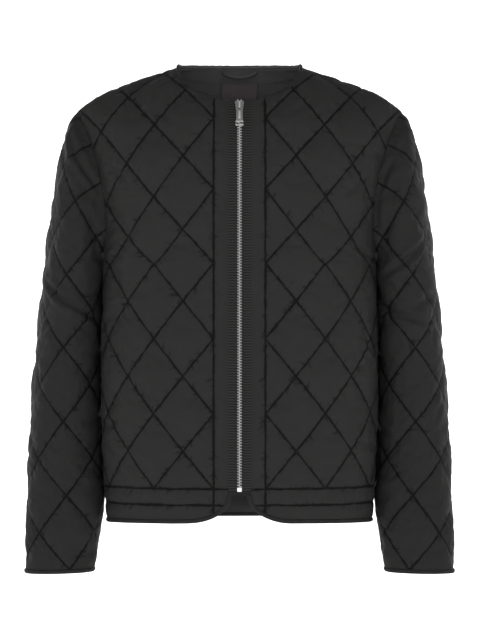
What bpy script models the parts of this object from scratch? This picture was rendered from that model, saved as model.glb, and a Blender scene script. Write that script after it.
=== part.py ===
"""A collarless quilted jacket with a metal zip, filled out as if worn, with no wearer in it.

Metres, +Z up. The front faces -Y, and the wearer's left is +X. The origin is where the wearer's neck
and shoulders hold it, in the middle of the neck opening, level with the shoulder seams' inner ends.
"""

from collections import namedtuple
from math import asin, atan2, cos, pi, radians, sin, sqrt

import bmesh
import bpy
import numpy as np
from mathutils import Matrix, Vector

# Cloth
GAP = 0.0003  # between two pieces that are sewn together
LYING_GAP = 0.0008  # under a piece that lies on a curved one
QUILT_WALL = 0.004
BINDING_WALL = 0.0046
FACING_WALL = 0.001
TAPE_WALL = 0.001

# The body's outline
HEM_FRONT_Z = -0.640  # where the front's cloth meets the hem binding
HEM_BACK_Z = -0.644
HEM_CORNER = (0.060, 0.0355)  # the rounded corner at the zip: how far it reaches across and up
HEM_BINDING_WIDTH = 0.008
UNDERARM_Z = -0.285
SHOULDER_POINT_X = 0.232
NECK_POINT_X = 0.0905
NECK_FRONT_Z = -0.0575
NECK_BACK_Z = 0.002
NECK_CORNER = 0.0085
NECK_BINDING_WIDTH = 0.004
FRONT_ROUNDING = 0.190  # how far below the shoulder line the front and the back come to full depth
BACK_ROUNDING = 0.160
FRONT, BACK = -1, 1

# Inside the back neck
FACING_HEIGHT = 0.028
FACING_SHORT_OF_SEAM = 0.15  # how much of a mesh column it ends before the shoulder seam
LABEL_HEIGHT = 0.034
LABEL_BELOW_FACING = 0.001
LABEL_WALL = 0.001
LOOP_HEIGHT = 0.007
LOOP_WALL = 0.0012
LOOP_BELOW_EDGE = 0.006
LOOP_SAG = 0.003
LOOP_STAND = 0.0105  # the gap behind its middle, for a hook

# The zip
FRONT_EDGE_X = 0.0162  # the fronts' edges, either side of the zip
TAPE_INNER_X = 0.0036
TAPE_TOP_Z = -0.0545
TAPE_BOTTOM_Z = -0.6030
TAPE_SINK = 0.001
TEETH_OUTER_X = 0.0033
TEETH_WALL = 0.003
TEETH_TOP_Z = -0.0645
TEETH_BOTTOM_Z = -0.5965
ZIP_BOX_BOTTOM_Z = -0.6025
SLIDER_Z = -0.0655  # its middle
SLIDER_LENGTH = 0.0135
SLIDER_TOP_WIDTH = 0.0125
SLIDER_BOTTOM_WIDTH = 0.0095
SLIDER_CLEARANCE = 0.0005  # between its plates and the teeth
PLATE = 0.0015
BRIDGE_WIDTH = 0.0024
BRIDGE_LENGTH = 0.0102
BRIDGE_TOP = 0.0060
BRIDGE_BAR = 0.0012
BRIDGE_POST = 0.0011
WEDGE_WIDTH = 0.0024
WEDGE_FOOT = 0.0020
WEDGE_TOP = 0.00625
STOP_INNER_X = 0.0014
STOP_OUTER_X = 0.0034
STOP_HEIGHT = 0.003
ZIP_BOX_STAND = 0.0006
ZIP_BOX_TAPER = 0.9
PULL_WIDTH = 0.0090
PULL_LENGTH = 0.0320
PULL_WALL = 0.0018
PULL_CLEARANCE = 0.0004  # to the slider's plate
PULL_BAR = 0.0014
PULL_EYE_WIDTH = 0.0048
PULL_EYE_SIDE = 0.0016
PULL_EYE_HEIGHT = 0.0064
PULL_RIB_WIDTH = 0.0028
PULL_RIB_STAND = 0.0006
PULL_FOOT_WIDTH = 0.0108
PULL_FOOT_HEIGHT = 0.0072
PULL_FOOT_RIM = 0.0016

# Mesh steps
CORNER_STEPS, NECK_STEPS, SHOULDER_STEPS = 2, 3, 5
NECK_COLUMNS = CORNER_STEPS + NECK_STEPS
HEM_CORNER_STEPS = 3
SIDE_ROWS = 7  # from the hem up to the underarm
ARMHOLE_ROWS = 8  # from the underarm up to the shoulder point
SLEEVE_STEPS = 12
ZIP_ROWS = 14
ZIP_ROW_CROWDING = 1.6
LOOP_STEPS = 12

Section = namedtuple("Section", "z half_width front_depth back_depth middle_y")
BODY = [
    Section(-0.660, 0.1895, 0.114, 0.112, 0.000),
    Section(-0.600, 0.1940, 0.117, 0.111, 0.000),
    Section(-0.500, 0.1980, 0.120, 0.109, 0.001),
    Section(-0.400, 0.1990, 0.123, 0.110, 0.003),
    Section(-0.300, 0.1975, 0.127, 0.116, 0.006),
    Section(-0.250, 0.2000, 0.129, 0.119, 0.008),
    Section(-0.200, 0.2075, 0.130, 0.121, 0.010),
    Section(-0.150, 0.2185, 0.130, 0.121, 0.011),
    Section(-0.100, 0.2350, 0.129, 0.120, 0.012),
    Section(-0.050, 0.2540, 0.127, 0.118, 0.012),
    Section(0.030, 0.2800, 0.125, 0.115, 0.012),
]

ShoulderLine = namedtuple("ShoulderLine", "x z")
SHOULDER = [
    ShoulderLine(-0.045, 0.0190),
    ShoulderLine(0.000, 0.0300),
    ShoulderLine(0.045, 0.0190),
    ShoulderLine(0.0905, -0.0010),
    ShoulderLine(0.146, -0.0205),
    ShoulderLine(0.187, -0.0355),
    ShoulderLine(0.215, -0.0500),
    ShoulderLine(0.234, -0.0650),
    ShoulderLine(0.260, -0.0950),
]

ArmholeRow = namedtuple("ArmholeRow", "z share_of_half_width")
ARMHOLE = [
    ArmholeRow(-0.285, 1.000),
    ArmholeRow(-0.250, 0.953),
    ArmholeRow(-0.210, 0.926),
    ArmholeRow(-0.150, 0.914),
    ArmholeRow(-0.100, 0.917),
    ArmholeRow(-0.060, 0.934),
]

# A sleeve's rings, each a flat oval seen edge-on from the front, from the armhole to the cuff.
Ring = namedtuple("Ring", "outer_x outer_z inner_x inner_z half_depth middle_y")
SLEEVE = [
    Ring(0.2320, -0.064, 0.1975, -0.285, 0.050, 0.010),
    Ring(0.2450, -0.083, 0.2020, -0.300, 0.058, 0.012),
    Ring(0.2540, -0.115, 0.2030, -0.313, 0.066, 0.016),
    Ring(0.2620, -0.155, 0.2025, -0.328, 0.071, 0.021),
    Ring(0.2690, -0.200, 0.2010, -0.346, 0.074, 0.027),
    Ring(0.2770, -0.262, 0.1995, -0.370, 0.075, 0.033),
    Ring(0.2855, -0.335, 0.1985, -0.405, 0.073, 0.037),
    Ring(0.2930, -0.410, 0.1985, -0.446, 0.069, 0.038),
    Ring(0.2990, -0.480, 0.1980, -0.497, 0.064, 0.035),
    Ring(0.3025, -0.550, 0.1970, -0.556, 0.058, 0.028),
    Ring(0.3055, -0.615, 0.1975, -0.616, 0.051, 0.018),
    Ring(0.3070, -0.668, 0.2015, -0.667, 0.045, 0.008),
    Ring(0.3075, -0.717, 0.2065, -0.715, 0.040, 0.000),
]
CUFF_BINDING_WIDTH = 0.008

MATERIALS = {
    # name: (colour, metallic, roughness)
    "quilted_shell": ((0.022, 0.022, 0.023), 0.0, 0.45),
    "binding": ((0.020, 0.020, 0.021), 0.0, 0.50),
    "facing": ((0.026, 0.026, 0.027), 0.0, 0.50),
    "label": ((0.030, 0.026, 0.028), 0.0, 0.60),
    "zip_tape": ((0.018, 0.018, 0.019), 0.0, 0.70),
    "zip_metal": ((0.560, 0.560, 0.550), 1.0, 0.30),
}


# ---------------------------------------------------------------- tables and shapes


def smooth(table, column, at, places=None):
    """A column's value between its rows, on one smooth curve. Without places, the first column gives them."""
    places = places or [row[0] for row in table]
    values = [getattr(row, column) for row in table]
    slopes = np.gradient(values, places)
    after = min(max(int(np.searchsorted(places, at)), 1), len(places) - 1)
    start, end = places[after - 1], places[after]
    step = end - start
    t = (at - start) / step
    return (
        values[after - 1] * (1 + 2 * t) * (1 - t) ** 2
        + slopes[after - 1] * step * t * (1 - t) ** 2
        + values[after] * t * t * (3 - 2 * t)
        + slopes[after] * step * t * t * (t - 1)
    )


def mix(start, end, share):
    return start + (end - start) * share


def shoulder_z(x):
    return smooth(SHOULDER, "z", abs(x))


def roundness(x, z, side):
    """How near a place is to the body's full depth, squared: 0 at the side and at the shoulder line."""
    rounding = FRONT_ROUNDING if side == FRONT else BACK_ROUNDING
    above_full = max(0.0, 1 - (shoulder_z(x) - z) / rounding)
    across = x / smooth(BODY, "half_width", z)
    return (1 - across**2) * (1 - above_full**2)


def depth(z, side):
    return smooth(BODY, "front_depth" if side == FRONT else "back_depth", z)


def skin(x, z, side):
    """The point of the body's outer surface at this place, on the front or on the back."""
    reach = depth(z, side) * sqrt(max(0.0, roundness(x, z, side)))
    return Vector((x, smooth(BODY, "middle_y", z) + side * reach, z))


def skin_normal(point, side):
    """The surface is where level() is zero, and its normal is the way in which that grows fastest."""

    def level(x, y, z):
        return ((y - smooth(BODY, "middle_y", z)) / depth(z, side)) ** 2 - roundness(x, z, side)

    small = 1e-5
    x, y, z = point
    return Vector(
        (
            level(x + small, y, z) - level(x - small, y, z),
            level(x, y + small, z) - level(x, y - small, z),
            level(x, y, z + small) - level(x, y, z - small),
        )
    ).normalized()


SHOULDER_POINT_Z = shoulder_z(SHOULDER_POINT_X)


def shoulder_seam(x):
    """The point at the top of the body, where the front and the back meet."""
    z = shoulder_z(x)
    return Vector((x, smooth(BODY, "middle_y", z), z))


def armhole(angle):
    """The left armhole's seam: 0 at the shoulder point, pi at the underarm, and the front between them."""
    z = mix(UNDERARM_Z, SHOULDER_POINT_Z, (1 + cos(angle)) / 2)
    side = FRONT if sin(angle) > 0 else BACK
    if abs(sin(angle)) > 1e-6:
        return skin(smooth(BODY, "half_width", z) * smooth(ARMHOLE, "share_of_half_width", z), z, side)
    if cos(angle) > 0:
        return shoulder_seam(SHOULDER_POINT_X)
    return Vector((smooth(BODY, "half_width", z), smooth(BODY, "middle_y", z), z))


def sleeve_point(along, angle):
    """A place on the left sleeve: along counts the table's rings, and the angle goes as the armhole's."""
    if along < 1e-6:
        return armhole(angle)
    places = range(len(SLEEVE))
    ring = Ring(*(smooth(SLEEVE, column, along, places) for column in Ring._fields))
    outer = Vector((ring.outer_x, ring.middle_y, ring.outer_z))
    inner = Vector((ring.inner_x, ring.middle_y, ring.inner_z))
    across = mix(inner, outer, (1 + cos(angle)) / 2)
    return across + Vector((0, FRONT * ring.half_depth * sin(angle), 0))


# ---------------------------------------------------------------- where the panels' columns start and end


def neckline_point(angle, lowest_z):
    """(x, z) on a neckline: 0 in the middle of the body, a quarter turn at the shoulder seam."""
    return NECK_POINT_X * sin(angle), mix(lowest_z, shoulder_z(NECK_POINT_X), 1 - cos(angle))


def shoulder_edge():
    points = []
    for step in range(SHOULDER_STEPS + 1):
        x = mix(NECK_POINT_X, SHOULDER_POINT_X, step / SHOULDER_STEPS)
        points.append((x, shoulder_z(x)))
    return points


def front_top_edge():
    """(x, z) from the zip's edge over the rounded corner and along the neckline, then the shoulder."""
    start = asin((FRONT_EDGE_X + NECK_CORNER) / NECK_POINT_X)
    corner_x, corner_z = neckline_point(start, NECK_FRONT_Z)
    points = []
    for step in range(CORNER_STEPS):
        turn = pi / 2 * step / CORNER_STEPS
        points.append((corner_x - NECK_CORNER * cos(turn), corner_z - NECK_CORNER * (1 - sin(turn))))
    for step in range(NECK_STEPS):
        points.append(neckline_point(mix(start, pi / 2, step / NECK_STEPS), NECK_FRONT_Z))
    return points + shoulder_edge()


def back_top_edge():
    """(x, z) from the middle of the back neck to the shoulder point."""
    points = [neckline_point(pi / 2 * step / NECK_COLUMNS, NECK_BACK_Z) for step in range(NECK_COLUMNS)]
    return points + shoulder_edge()


def edge_angle(z):
    """How far round the body a panel reaches: a quarter turn at the side seam, and less at the armhole."""
    if z <= UNDERARM_Z:
        return pi / 2
    return asin(smooth(ARMHOLE, "share_of_half_width", min(z, SHOULDER_POINT_Z)))


def side_share(x, z, inner_x):
    """Where x lies at this height, from 0 at the panel's inner edge to 1 at the side seam or armhole."""
    half_width = smooth(BODY, "half_width", z)
    start = asin(inner_x / half_width)
    return (asin(min(1.0, x / half_width)) - start) / (edge_angle(z) - start)


def side_x(share, z, inner_x):
    """The reverse of side_share."""
    half_width = smooth(BODY, "half_width", z)
    return half_width * sin(mix(asin(inner_x / half_width), edge_angle(z), share))


def front_bottom_edge(columns):
    """(x, z) from the zip's edge round the hem's corner to the side seam."""
    across, up = HEM_CORNER
    points = []
    for step in range(HEM_CORNER_STEPS):
        turn = pi / 2 * step / HEM_CORNER_STEPS
        points.append((FRONT_EDGE_X + across * (1 - cos(turn)), HEM_FRONT_Z + up * (1 - sin(turn))))
    corner_share = side_share(FRONT_EDGE_X + across, HEM_FRONT_Z, FRONT_EDGE_X)
    for step in range(columns - HEM_CORNER_STEPS + 1):
        onward = step / (columns - HEM_CORNER_STEPS)
        z = mix(HEM_FRONT_Z, HEM_BACK_Z, onward)
        points.append((side_x(mix(corner_share, 1, onward), z, FRONT_EDGE_X), z))
    return points


def body_columns(side):
    """One list of points for each column of the left half of a panel, from its inner edge to its side."""
    top = front_top_edge() if side == FRONT else back_top_edge()
    columns = len(top) - 1
    inner_x = FRONT_EDGE_X if side == FRONT else 0.0
    if side == FRONT:
        bottom = front_bottom_edge(columns)
    else:
        bottom = [(side_x(i / columns, HEM_BACK_Z, 0), HEM_BACK_Z) for i in range(columns + 1)]
    grid = []
    for i, ((bottom_x, bottom_z), (top_x, top_z)) in enumerate(zip(bottom, top)):
        bottom_share = side_share(bottom_x, bottom_z, inner_x)
        top_share = side_share(top_x, top_z, inner_x)
        column = []
        for row in range(SIDE_ROWS):
            up = row / SIDE_ROWS
            z = mix(bottom_z, UNDERARM_Z, up)
            share = mix(i / columns, bottom_share, (1 - up) ** 2)
            column.append(skin(side_x(share, z, inner_x), z, side))
        for row in range(ARMHOLE_ROWS):
            up = (1 - cos(pi * row / ARMHOLE_ROWS)) / 2
            z = mix(UNDERARM_Z, top_z, up)
            share = mix(i / columns, top_share, up**2)
            column.append(skin(side_x(share, z, inner_x), z, side))
        column.append(skin(top_x, top_z, side) if i < NECK_COLUMNS else shoulder_seam(top_x))
        grid.append(column)
    for row in range(ARMHOLE_ROWS + 1):
        grid[-1][SIDE_ROWS + row] = armhole((pi if side == FRONT else -pi) * (1 - row / ARMHOLE_ROWS))
    return grid


# ---------------------------------------------------------------- building solids from grids


def quad(mesh, a, b, c, d):
    """Two triangles, split along the shorter diagonal, so that two walls that meet at a seam split alike."""
    if (a.co - c.co).length <= (b.co - d.co).length:
        corners = (a, b, c), (a, c, d)
    else:
        corners = (a, b, d), (b, c, d)
    for three in corners:
        mesh.faces.new(three)


def cloth(name, outer, inner, material, ring=False):
    """A closed wall between two grids of points, as columns of rows. A ring's last column meets its first."""
    mesh = bmesh.new()
    columns, rows = len(outer), len(outer[0])
    out = [[mesh.verts.new(p) for p in column] for column in outer]
    back = [[mesh.verts.new(p) for p in column] for column in inner]
    pairs = [(i, i + 1) for i in range(columns - 1)] + ([(columns - 1, 0)] if ring else [])
    for i, after in pairs:
        for j in range(rows - 1):
            quad(mesh, out[i][j], out[after][j], out[after][j + 1], out[i][j + 1])
            quad(mesh, back[i][j], back[i][j + 1], back[after][j + 1], back[after][j])
        quad(mesh, back[i][0], back[after][0], out[after][0], out[i][0])
        quad(mesh, out[i][-1], out[after][-1], back[after][-1], back[i][-1])
    if not ring:
        for j in range(rows - 1):
            quad(mesh, out[0][j], out[0][j + 1], back[0][j + 1], back[0][j])
            quad(mesh, out[-1][j + 1], out[-1][j], back[-1][j], back[-1][j + 1])
    bmesh.ops.recalc_face_normals(mesh, faces=mesh.faces)
    return finished(name, mesh, material)


def finished(name, mesh, material):
    data = bpy.data.meshes.new(name)
    mesh.to_mesh(data)
    mesh.free()
    data.shade_smooth()
    data.set_sharp_from_angle(angle=radians(40))
    data.materials.append(MADE_MATERIALS[material])
    solid = bpy.data.objects.new(name, data)
    bpy.context.scene.collection.objects.link(solid)
    return solid


def moved(grid, normals, distance):
    return [[p + n * distance for p, n in zip(*columns)] for columns in zip(grid, normals)]


def trimmed(grid, first_column=True, last_column=True, first_row=True, last_row=True):
    """The grid with its edges drawn in by half a gap, towards the next points."""
    grid = [list(column) for column in grid]

    def draw_in(edge, following):
        return edge + (following - edge).normalized() * GAP / 2

    if first_column:
        grid[0] = [draw_in(p, q) for p, q in zip(grid[0], grid[1])]
    if last_column:
        grid[-1] = [draw_in(p, q) for p, q in zip(grid[-1], grid[-2])]
    for column in grid:
        if first_row:
            column[0] = draw_in(column[0], column[1])
        if last_row:
            column[-1] = draw_in(column[-1], column[-2])
    return grid


def mirrored(grid):
    return [[Vector((-p.x, p.y, p.z)) for p in column] for column in grid]


def binding_strip(name, path, normals, width, wall, towards, ring=False):
    """A strip sewn along an edge: the path is the edge's points, and the strip reaches out past them."""
    count = len(path)
    rows = []
    for i, (point, normal) in enumerate(zip(path, normals)):
        before = path[i - 1] if i or ring else point
        after = path[(i + 1) % count] if i < count - 1 or ring else point
        across = (after - before).normalized().cross(normal).normalized() * towards
        stand = normal * (wall - QUILT_WALL) / 2
        rows.append([point + across * GAP / 2 + stand, point + across * width + stand])
    thick = [[p - n * wall for p in row] for row, n in zip(rows, normals)]
    return cloth(name, rows, thick, "binding", ring)


# ---------------------------------------------------------------- the pieces


def sleeve_grids():
    """The left sleeve's points, as columns round it of rows down it, with their outward normals."""
    angles = [2 * pi * i / (2 * ARMHOLE_ROWS) for i in range(2 * ARMHOLE_ROWS)]
    count = len(SLEEVE) - 1
    places = [count * step / SLEEVE_STEPS for step in range(SLEEVE_STEPS + 1)]
    grid = [[sleeve_point(place, angle) for place in places] for angle in angles]
    normals = []
    for i, column in enumerate(grid):
        round_ = [after - before for before, after in zip(grid[i - 1], grid[(i + 1) % len(grid)])]
        down = [column[min(j + 1, count)] - column[max(j - 1, 0)] for j in range(len(column))]
        normals.append([a.cross(b).normalized() for a, b in zip(round_, down)])
    return angles, grid, normals


def outward(grid, normals):
    """The normals, turned round if they point in."""
    middle = sum((column[-1] for column in grid), Vector()) / len(grid)
    if (grid[0][-1] - middle).dot(normals[0][-1]) < 0:
        return [[-n for n in column] for column in normals]
    return normals


def seam_directions(angles, grid, normals):
    """At the armhole the body's wall and the sleeve's are cut one way, so that they meet throughout."""
    directions = {}
    for angle, column, column_normals in zip(angles, grid, normals):
        side = FRONT if angle < pi else BACK
        body = skin_normal(column[0], side)
        directions[round(angle, 6)] = (body + column_normals[0]).normalized()
    return directions


def body_panels(seams):
    """The two fronts and the back, cut from the same columns of points."""
    parts = {}
    for side in (FRONT, BACK):
        grid = body_columns(side)
        normals = [[skin_normal(p, side) for p in column] for column in grid]
        for row in range(ARMHOLE_ROWS + 1):
            angle = pi * (1 - row / ARMHOLE_ROWS)
            if side == BACK and 0 < row:
                angle = 2 * pi - angle
            normals[-1][SIDE_ROWS + row] = seams[round(angle % (2 * pi), 6)]
        parts[side] = (grid, normals)

    grid, normals = parts[FRONT]
    outer = trimmed(grid)
    inner = trimmed(moved(grid, normals, -QUILT_WALL))
    cloth("front_left", outer, inner, "quilted_shell")
    cloth("front_right", mirrored(outer), mirrored(inner), "quilted_shell")

    grid, normals = parts[BACK]
    outer = trimmed(grid, first_column=False)
    inner = trimmed(moved(grid, normals, -QUILT_WALL), first_column=False)
    whole = [mirrored(side)[:0:-1] + side for side in (outer, inner)]
    cloth("back", *whole, "quilted_shell")
    return parts


def sleeves(grid, normals):
    outer = trimmed(grid, first_column=False, last_column=False)
    inner = trimmed(moved(grid, normals, -QUILT_WALL), first_column=False, last_column=False)
    cloth("sleeve_left", outer, inner, "quilted_shell", ring=True)
    cloth("sleeve_right", mirrored(outer), mirrored(inner), "quilted_shell", ring=True)
    for name, turn in (("cuff_binding_left", 1), ("cuff_binding_right", -1)):
        path = [Vector((turn * column[-1].x, column[-1].y, column[-1].z)) for column in grid]
        facing = [Vector((turn * column[-1].x, column[-1].y, column[-1].z)) for column in normals]
        binding_strip(name, path, facing, CUFF_BINDING_WIDTH, BINDING_WALL, -turn, ring=True)


def edge_all_round(parts, row, front_columns, back_columns):
    """An edge of the body as one path, from the left front over the back to the right, with its normals."""
    path, facing = [], []
    for side, columns in ((FRONT, front_columns), (BACK, back_columns)):
        grid, normals = parts[side]
        path.append([grid[i][row] for i in columns])
        facing.append([normals[i][row] for i in columns])
    whole = []
    for front, back in (path, facing):
        flipped = mirrored([front, back])
        whole.append(front[:-1] + back[:0:-1] + flipped[1] + flipped[0][-2::-1])
    return whole


def bindings(parts):
    front_columns = range(CORNER_STEPS, NECK_COLUMNS + 1)
    neck, facing = edge_all_round(parts, -1, front_columns, range(NECK_COLUMNS + 1))
    binding_strip("neck_binding", neck, facing, NECK_BINDING_WIDTH, BINDING_WALL, -1)
    columns = range(NECK_COLUMNS + SHOULDER_STEPS + 1)
    hem, facing = edge_all_round(parts, 0, columns, columns)
    binding_strip("hem_binding", hem, facing, HEM_BINDING_WIDTH, BINDING_WALL, 1)


def between(grid, column, row):
    """A point of a grid's facets, at a place that may lie between its columns and its rows."""
    i, j = min(int(column), len(grid) - 2), min(int(row), len(grid[0]) - 2)
    low = grid[i][j].lerp(grid[i + 1][j], column - i)
    high = grid[i][j + 1].lerp(grid[i + 1][j + 1], column - i)
    return low.lerp(high, row - j)


def row_at(column, z):
    """The place in a column, from its foot, that is at this height."""
    for row in range(len(column) - 1, 0, -1):
        if column[row - 1].z <= z:
            return row - 1 + (z - column[row - 1].z) / (column[row].z - column[row - 1].z)
    return 0.0


def inside_back(name, columns, heights_at, stands, wall, material, grid, normals):
    """A piece inside the back: its columns, and for each one its rows' heights and how far it stands off."""
    layers = []
    for extra in (0.0, wall):
        layer = []
        for column, stand in zip(columns, stands):
            under = moved(grid, normals, -QUILT_WALL - LYING_GAP - stand - extra)
            foot_up = [between(grid, column, row) for row in range(len(grid[0]))]
            rows = [row_at(foot_up, z) for z in heights_at(column)]
            layer.append([between(under, column, row) for row in rows])
        layers.append(layer)
    return cloth(name, *layers, material)


def bow(place):
    """The hanger loop's arch, from 0 at its ends, at -1 and 1, to 1 in its middle."""
    return cos(pi / 2 * place) ** 0.5 if abs(place) < 1 else 0.0


def back_neck(grid, normals):
    """What shows inside the back neck: the facing, the blank label under it and the loop to hang it by."""
    whole = mirrored(grid)[:0:-1] + grid
    facing = mirrored(normals)[:0:-1] + normals
    middle, last = len(grid) - 1, len(grid[0]) - 1
    neck_z = NECK_BACK_Z

    def facing_rows(column):
        top, row_below = (between(whole, column, row).z for row in (last, last - 1))
        foot = top - FACING_HEIGHT
        return [foot, max(row_below, mix(foot, top, 0.02)), top - GAP]

    end = NECK_COLUMNS - FACING_SHORT_OF_SEAM
    columns = [middle - end, *range(middle - NECK_COLUMNS + 1, middle + NECK_COLUMNS), middle + end]
    flat = [0.0] * len(columns)
    inside_back("back_neck_facing", columns, facing_rows, flat, FACING_WALL, "facing", whole, facing)

    def label_rows(column):
        top = neck_z - FACING_HEIGHT - LABEL_BELOW_FACING
        return [top - LABEL_HEIGHT, between(whole, column, last - 2).z, top]

    columns = [middle - 1, middle, middle + 1]
    inside_back("neck_label", columns, label_rows, [0.0] * 3, LABEL_WALL, "label", whole, facing)

    def loop_rows(column):
        top = neck_z - LOOP_BELOW_EDGE - LOOP_SAG * bow(column - middle)
        return [top - LOOP_HEIGHT, top]

    places = [mix(-1.0, 1.0, step / LOOP_STEPS) for step in range(LOOP_STEPS + 1)]
    stands = [FACING_WALL + GAP + LOOP_STAND * bow(place) for place in places]
    columns = [middle + place for place in places]
    inside_back("hanger_loop", columns, loop_rows, stands, LOOP_WALL, "facing", whole, facing)


def zip_strip(name, xs, top, bottom, sink, wall, material):
    """A strip down the front between two x, with closer rows where the front bends."""
    heights = [mix(top, bottom, (row / ZIP_ROWS) ** ZIP_ROW_CROWDING) for row in range(ZIP_ROWS + 1)]
    grid = [[skin(x, z, FRONT) for z in heights] for x in xs]
    normals = [[skin_normal(p, FRONT) for p in column] for column in grid]
    cloth(name, moved(grid, normals, -sink), moved(grid, normals, -sink - wall), material)


def zip_strips():
    for side, turn in (("left", 1), ("right", -1)):
        tape = [turn * TAPE_INNER_X, turn * (FRONT_EDGE_X - GAP)]
        zip_strip(f"zip_tape_{side}", tape, TAPE_TOP_Z, TAPE_BOTTOM_Z, TAPE_SINK, TAPE_WALL, "zip_tape")
        teeth = [turn * GAP / 2, turn * TEETH_OUTER_X]
        zip_strip(f"zip_teeth_{side}", teeth, TEETH_TOP_Z, TEETH_BOTTOM_Z, 0.0, TEETH_WALL, "zip_metal")


def box(mesh, low, high):
    """A box between two corners, added to the mesh."""
    made = bmesh.ops.create_cube(mesh, size=1.0)["verts"]
    size = [b - a for a, b in zip(low, high)]
    middle = [(a + b) / 2 for a, b in zip(low, high)]
    bmesh.ops.scale(mesh, vec=size, verts=made)
    bmesh.ops.translate(mesh, vec=middle, verts=made)
    return made


def joined(name, parts, material, place):
    """Overlapping boxes, made one body and set at a place on the front. Each may narrow towards its foot."""
    solids = []
    for i, (low, high, foot) in enumerate(parts):
        mesh = bmesh.new()
        made = box(mesh, low, high)
        for vertex in made:
            if vertex.co.z < (low[2] + high[2]) / 2:
                vertex.co.x *= foot
        solid = finished(name if i == 0 else f"{name}_tool_{i}", mesh, material)
        solids.append(solid)
    whole = solids[0]
    for tool in solids[1:]:
        union = whole.modifiers.new("Union", "BOOLEAN")
        union.operation, union.object = "UNION", tool
    bpy.context.view_layer.update()
    graph = bpy.context.evaluated_depsgraph_get()
    data = bpy.data.meshes.new_from_object(whole.evaluated_get(graph))
    whole.modifiers.clear()
    whole.data = data
    for tool in solids[1:]:
        bpy.data.objects.remove(tool)
    data.name = name
    whole.matrix_world = place
    return whole


def front_frame(z):
    """A place on the zip, on the surface: x goes across, z up along the front, and y into the body."""
    low, high = skin(0, z - 0.005, FRONT), skin(0, z + 0.005, FRONT)
    up = (high - low).normalized()
    lean = atan2(up.y, up.z)
    return Matrix.Translation(skin(0, z, FRONT)) @ Matrix.Rotation(-lean, 4, "X")


def zip_ends():
    """The stops above the slider and the box at the foot."""
    place = front_frame(SLIDER_Z)
    low_z = SLIDER_LENGTH / 2 + GAP
    for name, turn in (("zip_stop_left", 1), ("zip_stop_right", -1)):
        low_x, high_x = sorted((turn * STOP_INNER_X, turn * STOP_OUTER_X))
        low, high = (low_x, 0.0, low_z), (high_x, TEETH_WALL, low_z + STOP_HEIGHT)
        joined(name, [(low, high, 1.0)], "zip_metal", place)
    place = front_frame(TEETH_BOTTOM_Z)
    height = TEETH_BOTTOM_Z - ZIP_BOX_BOTTOM_Z
    half = TAPE_INNER_X - GAP
    low, high = (-half, -ZIP_BOX_STAND, -height), (half, TEETH_WALL + ZIP_BOX_STAND, -GAP)
    joined("zip_box", [(low, high, ZIP_BOX_TAPER)], "zip_metal", place)


def zip_slider():
    """Two plates with the teeth between them, the wedge that parts the rows, and the bridge for the pull."""
    half, top = SLIDER_TOP_WIDTH / 2, SLIDER_LENGTH / 2
    taper = SLIDER_BOTTOM_WIDTH / SLIDER_TOP_WIDTH
    arm, leg, wedge = BRIDGE_WIDTH / 2, BRIDGE_LENGTH / 2, WEDGE_WIDTH / 2
    front, back = -SLIDER_CLEARANCE, TEETH_WALL + SLIDER_CLEARANCE
    in_front_plate, in_back_plate = front - PLATE / 2, back + PLATE / 2
    under_bridge = -BRIDGE_TOP + BRIDGE_BAR
    in_bridge = -BRIDGE_TOP + BRIDGE_BAR / 6
    parts = [
        ((-half, front - PLATE, -top), (half, front, top), taper),
        ((-half, back, -top), (half, back + PLATE, top), taper),
        ((-wedge, in_front_plate, WEDGE_FOOT), (wedge, in_back_plate, WEDGE_TOP), 1.0),
        ((-arm, -BRIDGE_TOP, -leg), (arm, under_bridge, leg), 1.0),
        ((-arm, in_bridge, -leg), (arm, in_front_plate, -leg + BRIDGE_POST), 1.0),
        ((-arm, in_bridge, leg - BRIDGE_POST), (arm, in_front_plate, leg), 1.0),
    ]
    joined("zip_slider", parts, "zip_metal", front_frame(SLIDER_Z))


def zip_pull():
    """The tab: an eye on the bridge, a plate with a raised rib, a slotted foot. Its origin is its hinge."""
    arm, wall, bar = PULL_WIDTH / 2, PULL_WALL / 2, PULL_BAR / 2
    eye, rib, foot = PULL_EYE_WIDTH / 2, PULL_RIB_WIDTH / 2, PULL_FOOT_WIDTH / 2
    eye_out = eye + PULL_EYE_SIDE
    foot_top = -PULL_LENGTH + PULL_FOOT_HEIGHT
    slot_top, slot_foot = foot_top - PULL_FOOT_RIM, -PULL_LENGTH + PULL_FOOT_RIM
    over = 0.0002  # how far parts of the pull run into each other
    parts = [
        ((-arm, -wall, foot_top - over), (arm, wall, -PULL_EYE_HEIGHT), 1.0),
        ((-eye_out + over, -bar, -bar), (eye_out - over, bar, bar), 1.0),
        ((-eye_out, -bar, -PULL_EYE_HEIGHT - over), (-eye, bar, bar), 1.0),
        ((eye, -bar, -PULL_EYE_HEIGHT - over), (eye_out, bar, bar), 1.0),
        ((-rib, -wall - PULL_RIB_STAND, foot_top), (rib, 0.0, -PULL_EYE_HEIGHT - PULL_RIB_STAND), 1.0),
        ((-foot, -wall, slot_top), (foot, wall, foot_top), 1.0),
        ((-foot, -wall, slot_foot - over), (-foot + PULL_FOOT_RIM, wall, slot_top + over), 1.0),
        ((foot - PULL_FOOT_RIM, -wall, slot_foot - over), (foot, wall, slot_top + over), 1.0),
        ((-foot, -wall, -PULL_LENGTH), (foot, wall, slot_foot), 1.0),
    ]
    hinge_y = -SLIDER_CLEARANCE - PLATE - PULL_CLEARANCE - PULL_WALL / 2
    joined("zip_pull", parts, "zip_metal", front_frame(SLIDER_Z) @ Matrix.Translation((0, hinge_y, 0)))


def clear_scene():
    for item in list(bpy.data.objects):
        bpy.data.objects.remove(item)


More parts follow.
